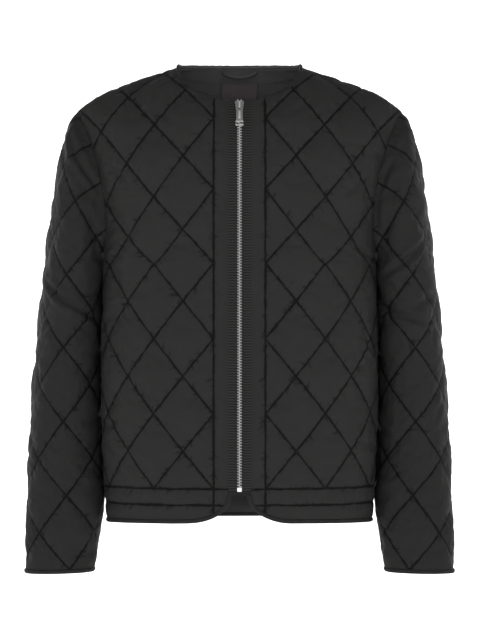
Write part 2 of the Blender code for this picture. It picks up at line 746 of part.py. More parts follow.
def make_materials():
    made = {}
    for name, (colour, metallic, roughness) in MATERIALS.items():
        material = bpy.data.materials.new(name)
        material.use_nodes = True
        shader = material.node_tree.nodes["Principled BSDF"]
        shader.inputs["Base Color"].default_value = (*colour, 1.0)
        shader.inputs["Metallic"].default_value = metallic
        shader.inputs["Roughness"].default_value = roughness
        made[name] = material
    return made


clear_scene()
MADE_MATERIALS = make_materials()
angles, sleeve, sleeve_normals = sleeve_grids()
sleeve_normals = outward(sleeve, sleeve_normals)
seams = seam_directions(angles, sleeve, sleeve_normals)
for angle, column in zip(angles, sleeve_normals):
    column[0] = seams[round(angle, 6)]
body = body_panels(seams)
sleeves(sleeve, sleeve_normals)
bindings(body)
back_neck(*body[BACK])
zip_strips()
zip_ends()
zip_slider()
zip_pull()
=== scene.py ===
"""The looks of a collarless quilted jacket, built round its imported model. Metres, +Z up, front to -Y."""

from collections import namedtuple
from math import asin, cos, pi, radians, sin, sqrt

import bmesh
import bpy
import numpy as np
from mathutils import Matrix, Vector
from mathutils.bvhtree import BVHTree
from mathutils.geometry import delaunay_2d_cdt


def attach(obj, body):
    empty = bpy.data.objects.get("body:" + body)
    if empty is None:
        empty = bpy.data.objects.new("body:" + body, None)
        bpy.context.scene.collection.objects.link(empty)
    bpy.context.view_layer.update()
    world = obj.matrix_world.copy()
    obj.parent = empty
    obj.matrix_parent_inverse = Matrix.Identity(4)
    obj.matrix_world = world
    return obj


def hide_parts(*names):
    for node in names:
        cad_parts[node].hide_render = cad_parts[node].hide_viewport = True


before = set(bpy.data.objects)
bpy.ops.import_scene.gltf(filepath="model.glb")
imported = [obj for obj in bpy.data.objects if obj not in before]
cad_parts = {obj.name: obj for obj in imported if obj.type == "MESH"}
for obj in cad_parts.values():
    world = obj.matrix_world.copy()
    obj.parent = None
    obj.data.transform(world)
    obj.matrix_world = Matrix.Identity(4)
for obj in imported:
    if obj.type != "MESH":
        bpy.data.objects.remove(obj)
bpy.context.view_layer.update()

# ---------------------------------------------------------------- the garment's sizes
# These are the solids' own, except that the sleeves' inner side lies against the body, the bindings show
# narrower, and the hem's, the cuffs' and the back neck's edges are 2.5 mm further out.

QUILT_WALL = 0.004
HEM_FRONT_Z = -0.6425
HEM_BACK_Z = -0.6465
HEM_CORNER = (0.060, 0.0355)
HEM_BINDING_WIDTH = 0.0055
UNDERARM_Z = -0.285
SHOULDER_POINT_X = 0.232
NECK_POINT_X = 0.0905
NECK_FRONT_Z = -0.0575
NECK_BACK_Z = 0.0045
NECK_CORNER = 0.0085
NECK_BINDING_WIDTH = 0.004
FRONT_ROUNDING = 0.190
BACK_ROUNDING = 0.160
FRONT, BACK = -1, 1
FRONT_EDGE_X = 0.0162
CORNER_COLUMNS, NECK_COLUMNS, ALL_COLUMNS, HEM_CORNER_COLUMNS = 2, 5, 10, 3

Section = namedtuple("Section", "z half_width front_depth back_depth middle_y")
BODY = [
    Section(-0.660, 0.1895, 0.114, 0.112, 0.000),
    Section(-0.600, 0.1940, 0.117, 0.111, 0.000),
    Section(-0.500, 0.1980, 0.120, 0.109, 0.001),
    Section(-0.400, 0.1990, 0.123, 0.110, 0.003),
    Section(-0.300, 0.1975, 0.127, 0.116, 0.006),
    Section(-0.250, 0.2000, 0.129, 0.119, 0.008),
    Section(-0.200, 0.2075, 0.130, 0.121, 0.010),
    Section(-0.150, 0.2185, 0.130, 0.121, 0.011),
    Section(-0.100, 0.2350, 0.129, 0.120, 0.012),
    Section(-0.050, 0.2540, 0.127, 0.118, 0.012),
    Section(0.030, 0.2800, 0.125, 0.115, 0.012),
]
ShoulderLine = namedtuple("ShoulderLine", "x z")
SHOULDER = [
    ShoulderLine(-0.045, 0.0190),
    ShoulderLine(0.000, 0.0300),
    ShoulderLine(0.045, 0.0190),
    ShoulderLine(0.0905, -0.0010),
    ShoulderLine(0.146, -0.0205),
    ShoulderLine(0.187, -0.0355),
    ShoulderLine(0.215, -0.0500),
    ShoulderLine(0.234, -0.0650),
    ShoulderLine(0.260, -0.0950),
]
ArmholeRow = namedtuple("ArmholeRow", "z share_of_half_width")
ARMHOLE = [
    ArmholeRow(-0.285, 1.000),
    ArmholeRow(-0.250, 0.953),
    ArmholeRow(-0.210, 0.926),
    ArmholeRow(-0.150, 0.914),
    ArmholeRow(-0.100, 0.917),
    ArmholeRow(-0.060, 0.934),
]
Ring = namedtuple("Ring", "outer_x outer_z inner_x inner_z half_depth middle_y")
SLEEVE = [
    Ring(0.2320, -0.064, 0.1850, -0.285, 0.050, 0.010),
    Ring(0.2450, -0.083, 0.1930, -0.300, 0.058, 0.012),
    Ring(0.2545, -0.115, 0.1940, -0.313, 0.066, 0.016),
    Ring(0.2625, -0.155, 0.1950, -0.328, 0.071, 0.021),
    Ring(0.2700, -0.200, 0.1948, -0.346, 0.074, 0.027),
    Ring(0.2780, -0.262, 0.1948, -0.370, 0.075, 0.033),
    Ring(0.2865, -0.335, 0.1948, -0.405, 0.073, 0.037),
    Ring(0.2940, -0.410, 0.1948, -0.446, 0.069, 0.038),
    Ring(0.3000, -0.480, 0.1945, -0.497, 0.064, 0.035),
    Ring(0.3035, -0.550, 0.1932, -0.556, 0.058, 0.028),
    Ring(0.3055, -0.615, 0.1920, -0.616, 0.051, 0.018),
    Ring(0.3070, -0.668, 0.1982, -0.667, 0.045, 0.008),
    Ring(0.3075, -0.7195, 0.2060, -0.7175, 0.040, 0.000),
]
CUFF_BINDING_WIDTH = 0.0055

# ---------------------------------------------------------------- sizes of the looks

CELL_WIDTH, CELL_HEIGHT = 0.088, 0.105  # one diamond of the quilting
CELL_STEPS = 16  # mesh steps to half a diamond
STEP_U, STEP_V = CELL_WIDTH / (2 * CELL_STEPS), CELL_HEIGHT / (2 * CELL_STEPS)
SIDE_STEP = sqrt(STEP_U**2 + STEP_V**2)
DIAGONAL = sqrt(CELL_WIDTH**2 + CELL_HEIGHT**2)
LINE_SPACING = CELL_WIDTH * CELL_HEIGHT / DIAGONAL
PLACKET_STITCH = 0.0362  # the straight stitch line beside the zip
HEM_STITCHES = -96 * STEP_V, -103 * STEP_V  # the straight stitch lines above the hem, below the underarm
STITCH_DEPTH = 0.0019
EDGE_DEPTH = 0.0012
LINING_PUFF = 0.0018
SEAM_REACH = 0.012  # creases and puffs fade this near a panel's edge


def smooth(table, column, at, places=None):
    """A column's values on one smooth curve through its rows. The first column gives places not given."""
    places = np.array([row[0] for row in table] if places is None else places, float)
    values = np.array([getattr(row, column) for row in table])
    slopes = np.gradient(values, places)
    after = np.clip(np.searchsorted(places, at), 1, len(places) - 1)
    step = places[after] - places[after - 1]
    t = (at - places[after - 1]) / step
    return (
        values[after - 1] * (1 + 2 * t) * (1 - t) ** 2
        + slopes[after - 1] * step * t * (1 - t) ** 2
        + values[after] * t * t * (3 - 2 * t)
        + slopes[after] * step * t * t * (t - 1)
    )


def mix(start, end, share):
    return start + (end - start) * share


def shoulder_z(x):
    return smooth(SHOULDER, "z", np.abs(x))


def depth(z, side):
    return smooth(BODY, "front_depth" if side == FRONT else "back_depth", z)


def skin(x, z, side):
    """The points of the body's outer surface at these places, on the front or on the back."""
    x, z = np.broadcast_arrays(np.asarray(x, float), np.asarray(z, float))
    rounding = FRONT_ROUNDING if side == FRONT else BACK_ROUNDING
    above_full = np.maximum(0, 1 - (shoulder_z(x) - z) / rounding)
    across = x / smooth(BODY, "half_width", z)
    roundness = np.maximum(0, (1 - across**2) * (1 - above_full**2))
    y = smooth(BODY, "middle_y", z) + side * depth(z, side) * np.sqrt(roundness)
    return np.stack([x, y, z], -1)


def edge_angle(z):
    shoulder_point_z = shoulder_z(SHOULDER_POINT_X)
    share = smooth(ARMHOLE, "share_of_half_width", np.clip(z, UNDERARM_Z, shoulder_point_z))
    return np.where(np.asarray(z) <= UNDERARM_Z, pi / 2, np.arcsin(np.minimum(1, share)))


def side_share(x, z, inner_x):
    half_width = smooth(BODY, "half_width", z)
    start = np.arcsin(inner_x / half_width)
    return (np.arcsin(np.minimum(1, x / half_width)) - start) / (edge_angle(z) - start)


def side_x(share, z, inner_x):
    half_width = smooth(BODY, "half_width", z)
    return half_width * np.sin(mix(np.arcsin(inner_x / half_width), edge_angle(z), share))


def neckline_point(angle, lowest_z):
    return NECK_POINT_X * sin(angle), mix(lowest_z, shoulder_z(NECK_POINT_X), 1 - cos(angle))


def top_edge(place, side):
    """(x, z) on a panel's top edge, where place counts the solids' columns from the panel's inner edge."""
    if place >= NECK_COLUMNS:
        x = mix(NECK_POINT_X, SHOULDER_POINT_X, (place - NECK_COLUMNS) / (ALL_COLUMNS - NECK_COLUMNS))
        return x, float(shoulder_z(x))
    if side == BACK:
        return neckline_point(pi / 2 * place / NECK_COLUMNS, NECK_BACK_Z)
    start = asin((FRONT_EDGE_X + NECK_CORNER) / NECK_POINT_X)
    if place >= CORNER_COLUMNS:
        along = (place - CORNER_COLUMNS) / (NECK_COLUMNS - CORNER_COLUMNS)
        return neckline_point(mix(start, pi / 2, along), NECK_FRONT_Z)
    turn = pi / 2 * place / CORNER_COLUMNS
    corner_x, corner_z = neckline_point(start, NECK_FRONT_Z)
    return corner_x - NECK_CORNER * cos(turn), corner_z - NECK_CORNER * (1 - sin(turn))


def bottom_edge(place, side):
    if side == BACK:
        return float(side_x(place / ALL_COLUMNS, HEM_BACK_Z, 0)), HEM_BACK_Z
    across, up = HEM_CORNER
    if place <= HEM_CORNER_COLUMNS:
        turn = pi / 2 * place / HEM_CORNER_COLUMNS
        return FRONT_EDGE_X + across * (1 - cos(turn)), HEM_FRONT_Z + up * (1 - sin(turn))
    onward = (place - HEM_CORNER_COLUMNS) / (ALL_COLUMNS - HEM_CORNER_COLUMNS)
    z = mix(HEM_FRONT_Z, HEM_BACK_Z, onward)
    corner_share = side_share(FRONT_EDGE_X + across, HEM_FRONT_Z, FRONT_EDGE_X)
    return float(side_x(mix(corner_share, 1, onward), z, FRONT_EDGE_X)), z


def steps_up(points):
    """The lengths of the steps up a grid's columns."""
    return np.linalg.norm(np.diff(points, axis=1), axis=-1)


def summed_up(steps):
    """The columns' lengths at each of their points."""
    return np.pad(np.cumsum(steps, axis=1), ((0, 0), (1, 0)))


def grid_cells(columns, rows):
    """The four corners of each cell of a grid of points, and the points round its rim."""
    index = np.arange(columns * rows).reshape(columns, rows)
    cells = np.stack([index[:-1, :-1], index[1:, :-1], index[1:, 1:], index[:-1, 1:]], -1).reshape(-1, 4)
    return cells, np.concatenate([index[:, 0], index[-1, 1:], index[:-1, -1][::-1], index[0, 1:-1][::-1]])


def grid_normals(points, outward_from):
    across, up = np.gradient(points, axis=0), np.gradient(points, axis=1)
    normals = np.cross(across, up)
    normals /= np.maximum(np.linalg.norm(normals, axis=-1, keepdims=True), 1e-12)
    middle = tuple(n // 2 for n in points.shape[:2])
    if np.dot(normals[middle], points[middle] - outward_from) < 0:
        normals = -normals
    return normals


# ---------------------------------------------------------------- the panels' surfaces and their flat cut

COLUMN_STEPS = 6  # fine columns to one of the solids' columns
LOWER_ROWS, UPPER_ROWS = 64, 64
SECTION_STEPS = 25


def body_surface(side):
    """(points, flat) of a panel's left half, as columns of rows. Flat holds the places on the flat cut."""
    columns = []
    inner_x = FRONT_EDGE_X if side == FRONT else 0.0
    for place in np.linspace(0, ALL_COLUMNS, ALL_COLUMNS * COLUMN_STEPS + 1):
        bottom_x, bottom_z = bottom_edge(place, side)
        top_x, top_z = top_edge(place, side)
        share = place / ALL_COLUMNS
        up = np.linspace(0, 1, LOWER_ROWS + 1)[:-1]
        lower_z = mix(bottom_z, UNDERARM_Z, up)
        lower = mix(share, float(side_share(bottom_x, bottom_z, inner_x)), (1 - up) ** 2)
        up = (1 - np.cos(np.linspace(0, pi, UPPER_ROWS + 1))) / 2
        upper_z = mix(UNDERARM_Z, top_z, up)
        upper = mix(share, float(side_share(top_x, top_z, inner_x)), up**2)
        if place == ALL_COLUMNS:
            upper = np.ones_like(up)
        z = np.concatenate([lower_z, upper_z])
        column = skin(side_x(np.concatenate([lower, upper]), z, inner_x), z, side)
        if place >= NECK_COLUMNS:
            column[-1] = top_x, smooth(BODY, "middle_y", top_z), top_z
        columns.append(column)
    points = np.array(columns)
    across = np.linspace(0, 1, SECTION_STEPS)[:, None, None]
    levels = np.broadcast_to(points[..., 2], (SECTION_STEPS,) + points.shape[:2])
    sections = skin(points[..., 0] * across, levels, side)
    u = np.linalg.norm(np.diff(sections, axis=0), axis=-1).sum(0)
    v = summed_up(steps_up(points))
    return points, np.stack([u, v - v[:, LOWER_ROWS, None]], -1)


def armhole(angle):
    z = mix(UNDERARM_Z, float(shoulder_z(SHOULDER_POINT_X)), (1 + np.cos(angle)) / 2)
    x = smooth(BODY, "half_width", z) * smooth(ARMHOLE, "share_of_half_width", z)
    points = np.where((np.sin(angle) > 0)[..., None], skin(x, z, FRONT), skin(x, z, BACK))
    ends = np.abs(np.sin(angle)) < 1e-6
    top = np.cos(angle) > 0
    points[ends & top, 0] = SHOULDER_POINT_X
    points[ends, 1] = smooth(BODY, "middle_y", z[ends])
    return points


SLEEVE_AROUND, SLEEVE_ALONG = 2 * UPPER_ROWS + 1, 145


def sleeve_surface():
    """(points, flat) of the left sleeve, from the underarm seam round to it again, and from the cuff up."""
    angle = np.linspace(-pi, pi, SLEEVE_AROUND)[:, None]
    along = (len(SLEEVE) - 1) * (1 - np.linspace(0, 1, SLEEVE_ALONG)[None, :])
    places = range(len(SLEEVE))
    ring = Ring(*(smooth(SLEEVE, column, along, places) for column in Ring._fields))
    share = (1 + np.cos(angle)) / 2
    points = np.stack(
        [
            mix(ring.inner_x, ring.outer_x, share),
            ring.middle_y + FRONT * ring.half_depth * np.sin(angle),
            mix(ring.inner_z, ring.outer_z, share),
        ],
        -1,
    )
    seam = armhole(angle[:, 0])
    pull = np.clip(1 - along, 0, 1)[..., None] ** 1.6
    points = points + (seam[:, None] - points[:, -1:]) * pull
    return points, sleeve_cut(points)


def sleeve_cut(points):
    """The sleeve laid flat: u runs level round the arm from its outer line, v keeps the columns' length."""
    middle = SLEEVE_AROUND // 2
    u = np.zeros(points.shape[:2])
    for way in (1, -1):
        half = points[middle::way]
        for i in range(1, len(half)):
            z = half[i, :, 2]
            level = [[np.interp(z, c[:, 2], c[:, axis]) for axis in (0, 1)] for c in half[: i + 1]]
            u[middle + way * i] = way * np.linalg.norm(np.diff(level, axis=0), axis=1).sum(0)
    climbs = np.sqrt(np.maximum(steps_up(points) ** 2 - np.diff(u, axis=1) ** 2, 1e-12))
    return np.stack([u, summed_up(climbs)], -1)


def unit(values):
    """The vectors at length 1."""
    return values / np.linalg.norm(values, axis=-1, keepdims=True)


def square_to(normals, along):
    """The normals turned square to these directions."""
    return unit(normals - along * (normals * along).sum(1, keepdims=True))


def length_along(path):
    return np.concatenate([[0], np.cumsum(np.linalg.norm(np.diff(path, axis=0), axis=1))])


def evenly(tracks, path, step):
    """The tracks resampled at even steps along the path, and then the path's length."""
    length = length_along(path)
    at = np.linspace(0, length[-1], max(2, round(length[-1] / step)) + 1)
    made = [np.stack([np.interp(at, length, column) for column in track.T], -1) for track in tracks]
    return *made, float(length[-1])


SHARP_CORNER = radians(20)


class Cloth:
    """A panel's surface as columns of rows, with the flat cut that it was sewn from."""

    def __init__(self, points, flat, outward_from):
        self.points, self.flat = points, flat
        self.normals = grid_normals(points, np.array(outward_from))

    def mirrored(self):
        """The other side's panel. Its columns still run towards +X."""
        made = object.__new__(Cloth)
        made.points = self.points[::-1] * (-1, 1, 1)
        made.flat = self.flat[::-1] * (-1, 1)
        made.normals = self.normals[::-1] * (-1, 1, 1)
        return made

    def joined(self, other):
        """This panel with one that carries on from its last column."""
        made = object.__new__(Cloth)
        for name in ("points", "flat", "normals"):
            setattr(made, name, np.concatenate([getattr(self, name), getattr(other, name)[1:]]))
        return made

    def outline(self):
        """The cut's edge as points about one mesh step apart, with its sharp corners kept."""
        _, rim = grid_cells(*self.flat.shape[:2])
        loop = self.flat.reshape(-1, 2)[rim]
        way = unit(np.roll(loop, -1, 0) - loop)
        sharp = np.flatnonzero((way * np.roll(way, 1, 0)).sum(1) < cos(SHARP_CORNER))
        outline = []
        for start, end in zip(sharp, np.append(sharp[1:], sharp[0] + len(loop))):
            side = loop[np.arange(start, end + 1) % len(loop)]
            outline.append(evenly([side], side, SIDE_STEP)[0][:-1])
        return np.concatenate(outline)

    def locate(self, flat):
        """(points, normals) of the surface at these places of the flat cut."""
        cells, _ = grid_cells(*self.flat.shape[:2])
        faces = np.concatenate([cells[:, :3], cells[:, [0, 2, 3]]])
        corners = np.pad(self.flat.reshape(-1, 2), ((0, 0), (0, 1)))
        tree = BVHTree.FromPolygons(corners.tolist(), faces.tolist())
        found = np.empty(len(flat), int)
        at = np.empty((len(flat), 2))
        for i, (u, v) in enumerate(flat):
            place, _, found[i], _ = tree.find_nearest((u, v, 0))
            at[i] = place.x, place.y
        p, q, r = (corners[faces[found, i], :2] for i in range(3))
        weights = np.stack([turn(q - at, r - at), turn(r - at, p - at), turn(p - at, q - at)], -1)
        weights = (weights / turn(q - p, r - p)[:, None])[..., None]
        points = (self.points.reshape(-1, 3)[faces[found]] * weights).sum(1)
        normals = (self.normals.reshape(-1, 3)[faces[found]] * weights).sum(1)
        return points, unit(normals)


def turn(a, b):
    return a[..., 0] * b[..., 1] - a[..., 1] * b[..., 0]


# ---------------------------------------------------------------- the quilting and the mesh that follows it


ON_LINE = 1e-5  # a point this near a stitch line lies on it


class Quilting:
    """Where a panel is stitched: diamonds from an upright line, and plain bands beside the zip and hem."""

    def __init__(self, start=0.0, upright=False, levels=()):
        self.start, self.upright, self.levels = start, upright, levels

    def families(self, flat):
        """For each way the diagonals run: the line nearest each place, how far it is, and how far along."""
        s, v = flat[:, 0] - self.start, flat[:, 1]
        for way in (1, -1):
            place = s / CELL_WIDTH + way * v / CELL_HEIGHT
            line = np.round(place)
            away = np.abs(place - line) * LINE_SPACING
            yield line, away, (s * CELL_WIDTH - way * v * CELL_HEIGHT) / DIAGONAL

    def plain(self, flat, by=ON_LINE / 10):
        """Whether a place is in a band that has no diamonds."""
        found = np.zeros(len(flat), bool)
        if self.upright:
            found |= np.abs(flat[:, 0]) < abs(self.start) - by
        if self.levels:
            found |= flat[:, 1] < self.levels[0] - by
        return found

    def straight(self, flat):
        """How far each place is from the straight stitch lines, and how far along them."""
        if self.upright:
            yield np.abs(flat[:, 0] - self.start), flat[:, 1]
        for level in self.levels:
            yield np.abs(flat[:, 1] - level), flat[:, 0]

    def distance(self, flat):
        found = np.min([away for _, away, _ in self.families(flat)], axis=0)
        found[self.plain(flat)] = 1.0
        for away, _ in self.straight(flat):
            found = np.minimum(found, away)
        return found


def inside(points, outline):
    """Which points lie in the outline, from the number of its sides to the right of each."""
    hits = np.zeros(len(points), bool)
    for p, q in zip(outline, np.roll(outline, -1, 0)):
        crosses = (p[1] > points[:, 1]) != (q[1] > points[:, 1])
        if crosses.any():
            x = p[0] + (points[crosses, 1] - p[1]) / (q[1] - p[1]) * (q[0] - p[0])
            hits[crosses] ^= x > points[crosses, 0]
    return hits


def nearest_distance(points, targets):
    found = np.full(len(points), np.inf)
    for start in range(0, len(points), 2000):
        part = points[start : start + 2000]
        found[start : start + 2000] = np.sqrt(((part[:, None] - targets[None]) ** 2).sum(-1)).min(1)
    return found


def flat_mesh(outline, quilting):
    """(flat points, faces) of a mesh with the outline first, whose edges follow every stitch line."""
    low, high = outline.min(0) - (quilting.start, 0), outline.max(0) - (quilting.start, 0)
    p = np.arange(int(low[0] / STEP_U) - 1, int(high[0] / STEP_U) + 2)
    q = np.arange(int(low[1] / STEP_V) - 1, int(high[1] / STEP_V) + 2)
    places = np.stack(np.meshgrid(p, q, indexing="ij"), -1).reshape(-1, 2)
    places = places[places.sum(1) % 2 == 0]
    flat = places * (STEP_U, STEP_V) + (quilting.start, 0)
    keep = inside(flat, outline) & (nearest_distance(flat, outline) > 0.6 * SIDE_STEP)
    places, flat = places[keep], np.concatenate([outline, flat[keep]])
    count = len(outline)
    edges = []
    if quilting.upright:
        index = {row: count + i for i, (column, row) in enumerate(places) if column == 0}
        edges = [(index[row], index[row + 2]) for row in index if row + 2 in index]
    made = delaunay_2d_cdt([Vector(c) for c in flat], edges, [list(range(count))], 1, 1e-7)
    source = np.array([group[0] for group in made[3]])
    triangles = source[np.array(made[2])]
    return flat, joined_faces(triangles, flat, quilting.distance(flat) < ON_LINE, count)


def joined_faces(triangles, flat, stitched, count):
    """The triangles joined in pairs across their short level edges, unless a stitch line runs there."""
    by_edge = {}
    for i, (a, b, c) in enumerate(triangles):
        by_edge[a, b], by_edge[b, c], by_edge[c, a] = (i, c), (i, a), (i, b)
    used = np.zeros(len(triangles), bool)
    faces = []
    for (a, b), (i, c) in by_edge.items():
        if a > b or min(a, b) < count or used[i] or (b, a) not in by_edge:
            continue
        j, d = by_edge[b, a]
        across, up = np.abs(flat[a] - flat[b])
        level = up < ON_LINE / 10 and abs(across - 2 * STEP_U) < ON_LINE / 10
        if level and not used[j] and not (stitched[a] and stitched[b]):
            used[i] = used[j] = True
            faces.append((a, d, b, c))
    return [tuple(int(i) for i in face) for face in faces] + triangles[~used].tolist()


# ---------------------------------------------------------------- creases and puckers

Ridge = namedtuple("Ridge", "height place width")
RIDGES = Ridge(0.6, 1.7, 1.15), Ridge(0.4, -1.9, 1.4)
NARROW, WIDE = 0.35, 0.62  # a crease at its ends and at its middle


def hump(x):
    return np.exp(-(x**2))


def creased(flat, creases):
    """How far the creases lift each place: a soft trough between two low ridges, fading at its ends."""
    lift = np.zeros(len(flat))
    for start, end, depth, width, bow in creases:
        start, end = np.array(start), np.array(end)
        length = np.linalg.norm(end - start)
        way = (end - start) / length
        along = (flat - start) @ way / length
        t = np.clip(along, 0, 1)
        arc = 4 * t * (1 - t)
        side = turn(way, flat - start) - bow * arc
        away = np.sign(side) * np.hypot(side, (along - t) * length)
        taper = arc**0.7
        x = away / (width * mix(NARROW, WIDE, taper))
        ridges = sum(ridge.height * hump((x - ridge.place) / ridge.width) for ridge in RIDGES)
        lift += depth * taper * (ridges - hump(x))
    return lift


def rounded_noise(at, seed):
    """Values from -1 to 1 that change smoothly along a line, about once each unit."""
    table = np.random.default_rng(seed).uniform(-1, 1, NOISE_LENGTH)
    low = np.floor(at).astype(int)
    return mix(table[low % NOISE_LENGTH], table[(low + 1) % NOISE_LENGTH], fade(at - low, 1))


def fade(distance, reach):
    """From 0 at no distance to 1 at this reach, smoothly."""
    t = np.clip(distance / reach, 0, 1)
    return t * t * (3 - 2 * t)


NOISE_LENGTH = 4096
PUCKER_PITCH, PUCKER_REACH, PUCKER_HEIGHT, PUCKER_START = 0.0052, 0.0085, 0.00115, 0.0015
PUCKERS_TO_STRETCH, STRETCH_MEAN, STRETCH_SWING, STRETCH_MOST = 7, 0.55, 0.9, 1.3
LINE_SHIFT, FAMILY_SHIFT = 131.7, 977  # so that no two lines pucker alike


def puckers(flat, quilting, seed):
    """Short gathers beside the stitch lines, across them, stronger in some stretches than in others."""
    found = np.zeros(len(flat))
    lines = [(away, along, line) for line, away, along in quilting.families(flat)]
    plain = quilting.plain(flat)
    straight = [(away, along, np.zeros(len(flat))) for away, along in quilting.straight(flat)]
    for i, (away, along, line) in enumerate(lines + straight):
        place = along / PUCKER_PITCH + LINE_SHIFT * line + FAMILY_SHIFT * i
        swing = STRETCH_SWING * rounded_noise(place / PUCKERS_TO_STRETCH, seed + 40 + i)
        strength = np.clip(STRETCH_MEAN + swing, 0, STRETCH_MOST)
        reach = np.exp(-away / PUCKER_REACH) * np.minimum(1, away / PUCKER_START)
        found += np.where(plain & (i < 2), 0, rounded_noise(place, seed + i) * strength * reach)
    return PUCKER_HEIGHT * found


# ---------------------------------------------------------------- padded panels


class Panel:
    """A quilted panel: its flat mesh laid on its surface, with its creases."""

    def __init__(self, cloth, quilting, creases, seed):
        self.cloth, self.quilting, self.creases, self.seed = cloth, quilting, creases, seed
        self.outline = cloth.outline()
        self.flat, self.faces = flat_mesh(self.outline, quilting)
        self.border = np.arange(len(self.flat)) < len(self.outline)
        self.to_stitch = quilting.distance(self.flat)
        self.to_edge = nearest_distance(self.flat, self.outline)
        self.held = (self.to_stitch < ON_LINE) | self.border
        self.points, self.normals = self.place(self.flat, self.to_edge)
        threes = np.array([face[:3] for face in self.faces])
        a, b, c = (self.points[threes[:, i]] for i in range(3))
        self.inside_out = (np.cross(b - a, c - a) * self.normals[threes[:, 0]]).sum() < 0

    def place(self, flat, to_edge):
        """(points, normals) at places of the flat cut, with the creases."""
        points, normals = self.cloth.locate(flat)
        lift = creased(flat, self.creases) * fade(to_edge, SEAM_REACH)
        return points + normals * lift[:, None], normals

    def lift_of_puff(self, height):
        near = np.minimum(self.to_stitch, self.to_edge)
        return height * (1 - np.exp(-near / SEAM_REACH))

    def turned(self, faces):
        return [face[::-1] for face in faces] if self.inside_out else faces


def add_mesh(name, points, faces, materials=()):
    mesh = bpy.data.meshes.new(name)
    mesh.from_pydata(np.asarray(points).tolist(), [], faces)
    mesh.shade_smooth()
    for material in materials:
        mesh.materials.append(material)
    piece = bpy.data.objects.new(name, mesh)
    bpy.context.scene.collection.objects.link(piece)
    return piece


def placed(piece, node, body="jacket"):
    """Rides the piece on its body and lets it stand for this node, or for none."""
    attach(piece, body)
    if node:
        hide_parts(node)


def read(elements, name, size, kind=np.float32):
    """A property of many mesh elements, a row for each."""
    values = np.empty(len(elements) * size, kind)
    elements.foreach_get(name, values)
    return values.reshape(-1, size)


def coordinates(mesh):
    return read(mesh.vertices, "co", 3).astype(float)


def note_flat(mesh, flat):
    """Keeps each point's place on the flat cut, which the cloth's patterns follow."""
    made = mesh.attributes.new("flat", "FLOAT_VECTOR", "POINT")
    made.data.foreach_set("vector", np.pad(flat, ((0, 0), (0, 1))).astype(np.float32).ravel())


def set_materials(mesh, index):
    """Gives each face the material of this number."""
    mesh.polygons.foreach_set("material_index", np.asarray(index, np.int32))


def only(piece):
    """Makes this the one selected object, and the active one."""
    bpy.ops.object.select_all(action="DESELECT")
    piece.select_set(True)
    bpy.context.view_layer.objects.active = piece


def apply_modifier(piece, name):
    only(piece)
    bpy.ops.object.modifier_apply(modifier=name)


CLOTH_FRAMES, CLOTH_PRESSURE = 20, 3
SPARE_CLOTH, BENDING = 0.025, 0.02
MOST_SINK, MOST_PUFF = 0.0032, 0.004


def fill(piece, panel):
    """Blender's cloth simulation pushes the cloth out between its stitches. It is cut a little too large."""
    cloth = piece.modifiers.new("Cloth", "CLOTH")
    settings = cloth.settings
    held = piece.vertex_groups.new(name="stitched")
    held.add(np.flatnonzero(panel.held).tolist(), 1.0, "REPLACE")
    settings.vertex_group_mass = "stitched"
    settings.quality = 5
    settings.use_pressure = True
    settings.uniform_pressure_force = CLOTH_PRESSURE
    settings.effector_weights.gravity = 0
    settings.shrink_min = -SPARE_CLOTH
    settings.bending_stiffness = BENDING
    cloth.collision_settings.use_collision = False
    cloth.point_cache.frame_start, cloth.point_cache.frame_end = 1, CLOTH_FRAMES
    for step in range(1, CLOTH_FRAMES + 1):
        bpy.context.scene.frame_set(step)
    apply_modifier(piece, "Cloth")
    piece.vertex_groups.clear()
    bpy.context.scene.frame_set(1)
    moved = coordinates(piece.data) - panel.points
    out = (moved * panel.normals).sum(1, keepdims=True)
    points = panel.points + moved + panel.normals * (np.clip(out, -MOST_SINK, MOST_PUFF) - out)
    piece.data.vertices.foreach_set("co", points.astype(np.float32).ravel())
    piece.data.update()


START_PUFF, START_JITTER = 0.0026, 0.0003
STITCH_SHARPNESS = 0.6
RIM_DEPTH, RIM_TEST = 0.0026, 0.001
FLAT_LINING_Z, FREE_LINING_REACH = -0.075, 0.03
EDGE_FOLD, EDGE_FOLD_REACH = 0.9, 0.0018


def outer_layer(name, panel):
    """(points, faces, flat, middles) of the filled outer layer. Middles halve the coarse mesh's edges."""
    rng = np.random.default_rng(panel.seed)
    jitter = np.where(panel.held, 0, rng.uniform(-1, 1, len(panel.flat)) * START_JITTER)
    lift = panel.lift_of_puff(START_PUFF) - np.where(panel.border, EDGE_DEPTH, STITCH_DEPTH) + jitter
    piece = add_mesh(name, panel.points + panel.normals * lift[:, None], panel.turned(panel.faces))
    mesh = piece.data
    fill(piece, panel)
    note_flat(mesh, panel.flat)
    ends = read(mesh.edges, "vertices", 2, np.int32)
    sharpness = mesh.attributes.new("crease_edge", "FLOAT", "EDGE")
    held = np.where(panel.held[ends].all(1), STITCH_SHARPNESS, 0)
    sharpness.data.foreach_set("value", held.astype(np.float32))
    middles = {tuple(sorted(pair)): len(panel.flat) + i for i, pair in enumerate(ends.tolist())}
    finer = piece.modifiers.new("Fine", "SUBSURF")
    finer.levels = finer.render_levels = 1
    apply_modifier(piece, "Fine")
    flat = read(mesh.attributes["flat"].data, "vector", 3)[:, :2].astype(float)
    to_edge = nearest_distance(flat, panel.outline)
    lift = puckers(flat, panel.quilting, panel.seed) * fade(to_edge, SEAM_REACH / 2)
    points = coordinates(mesh) + read(mesh.vertex_normals, "vector", 3) * lift[:, None]
    faces = read(mesh.loops, "vertex_index", 1, np.int32).reshape(-1, 4).tolist()
    bpy.data.objects.remove(piece)
    bpy.data.meshes.remove(mesh)
    return points, faces, flat, middles


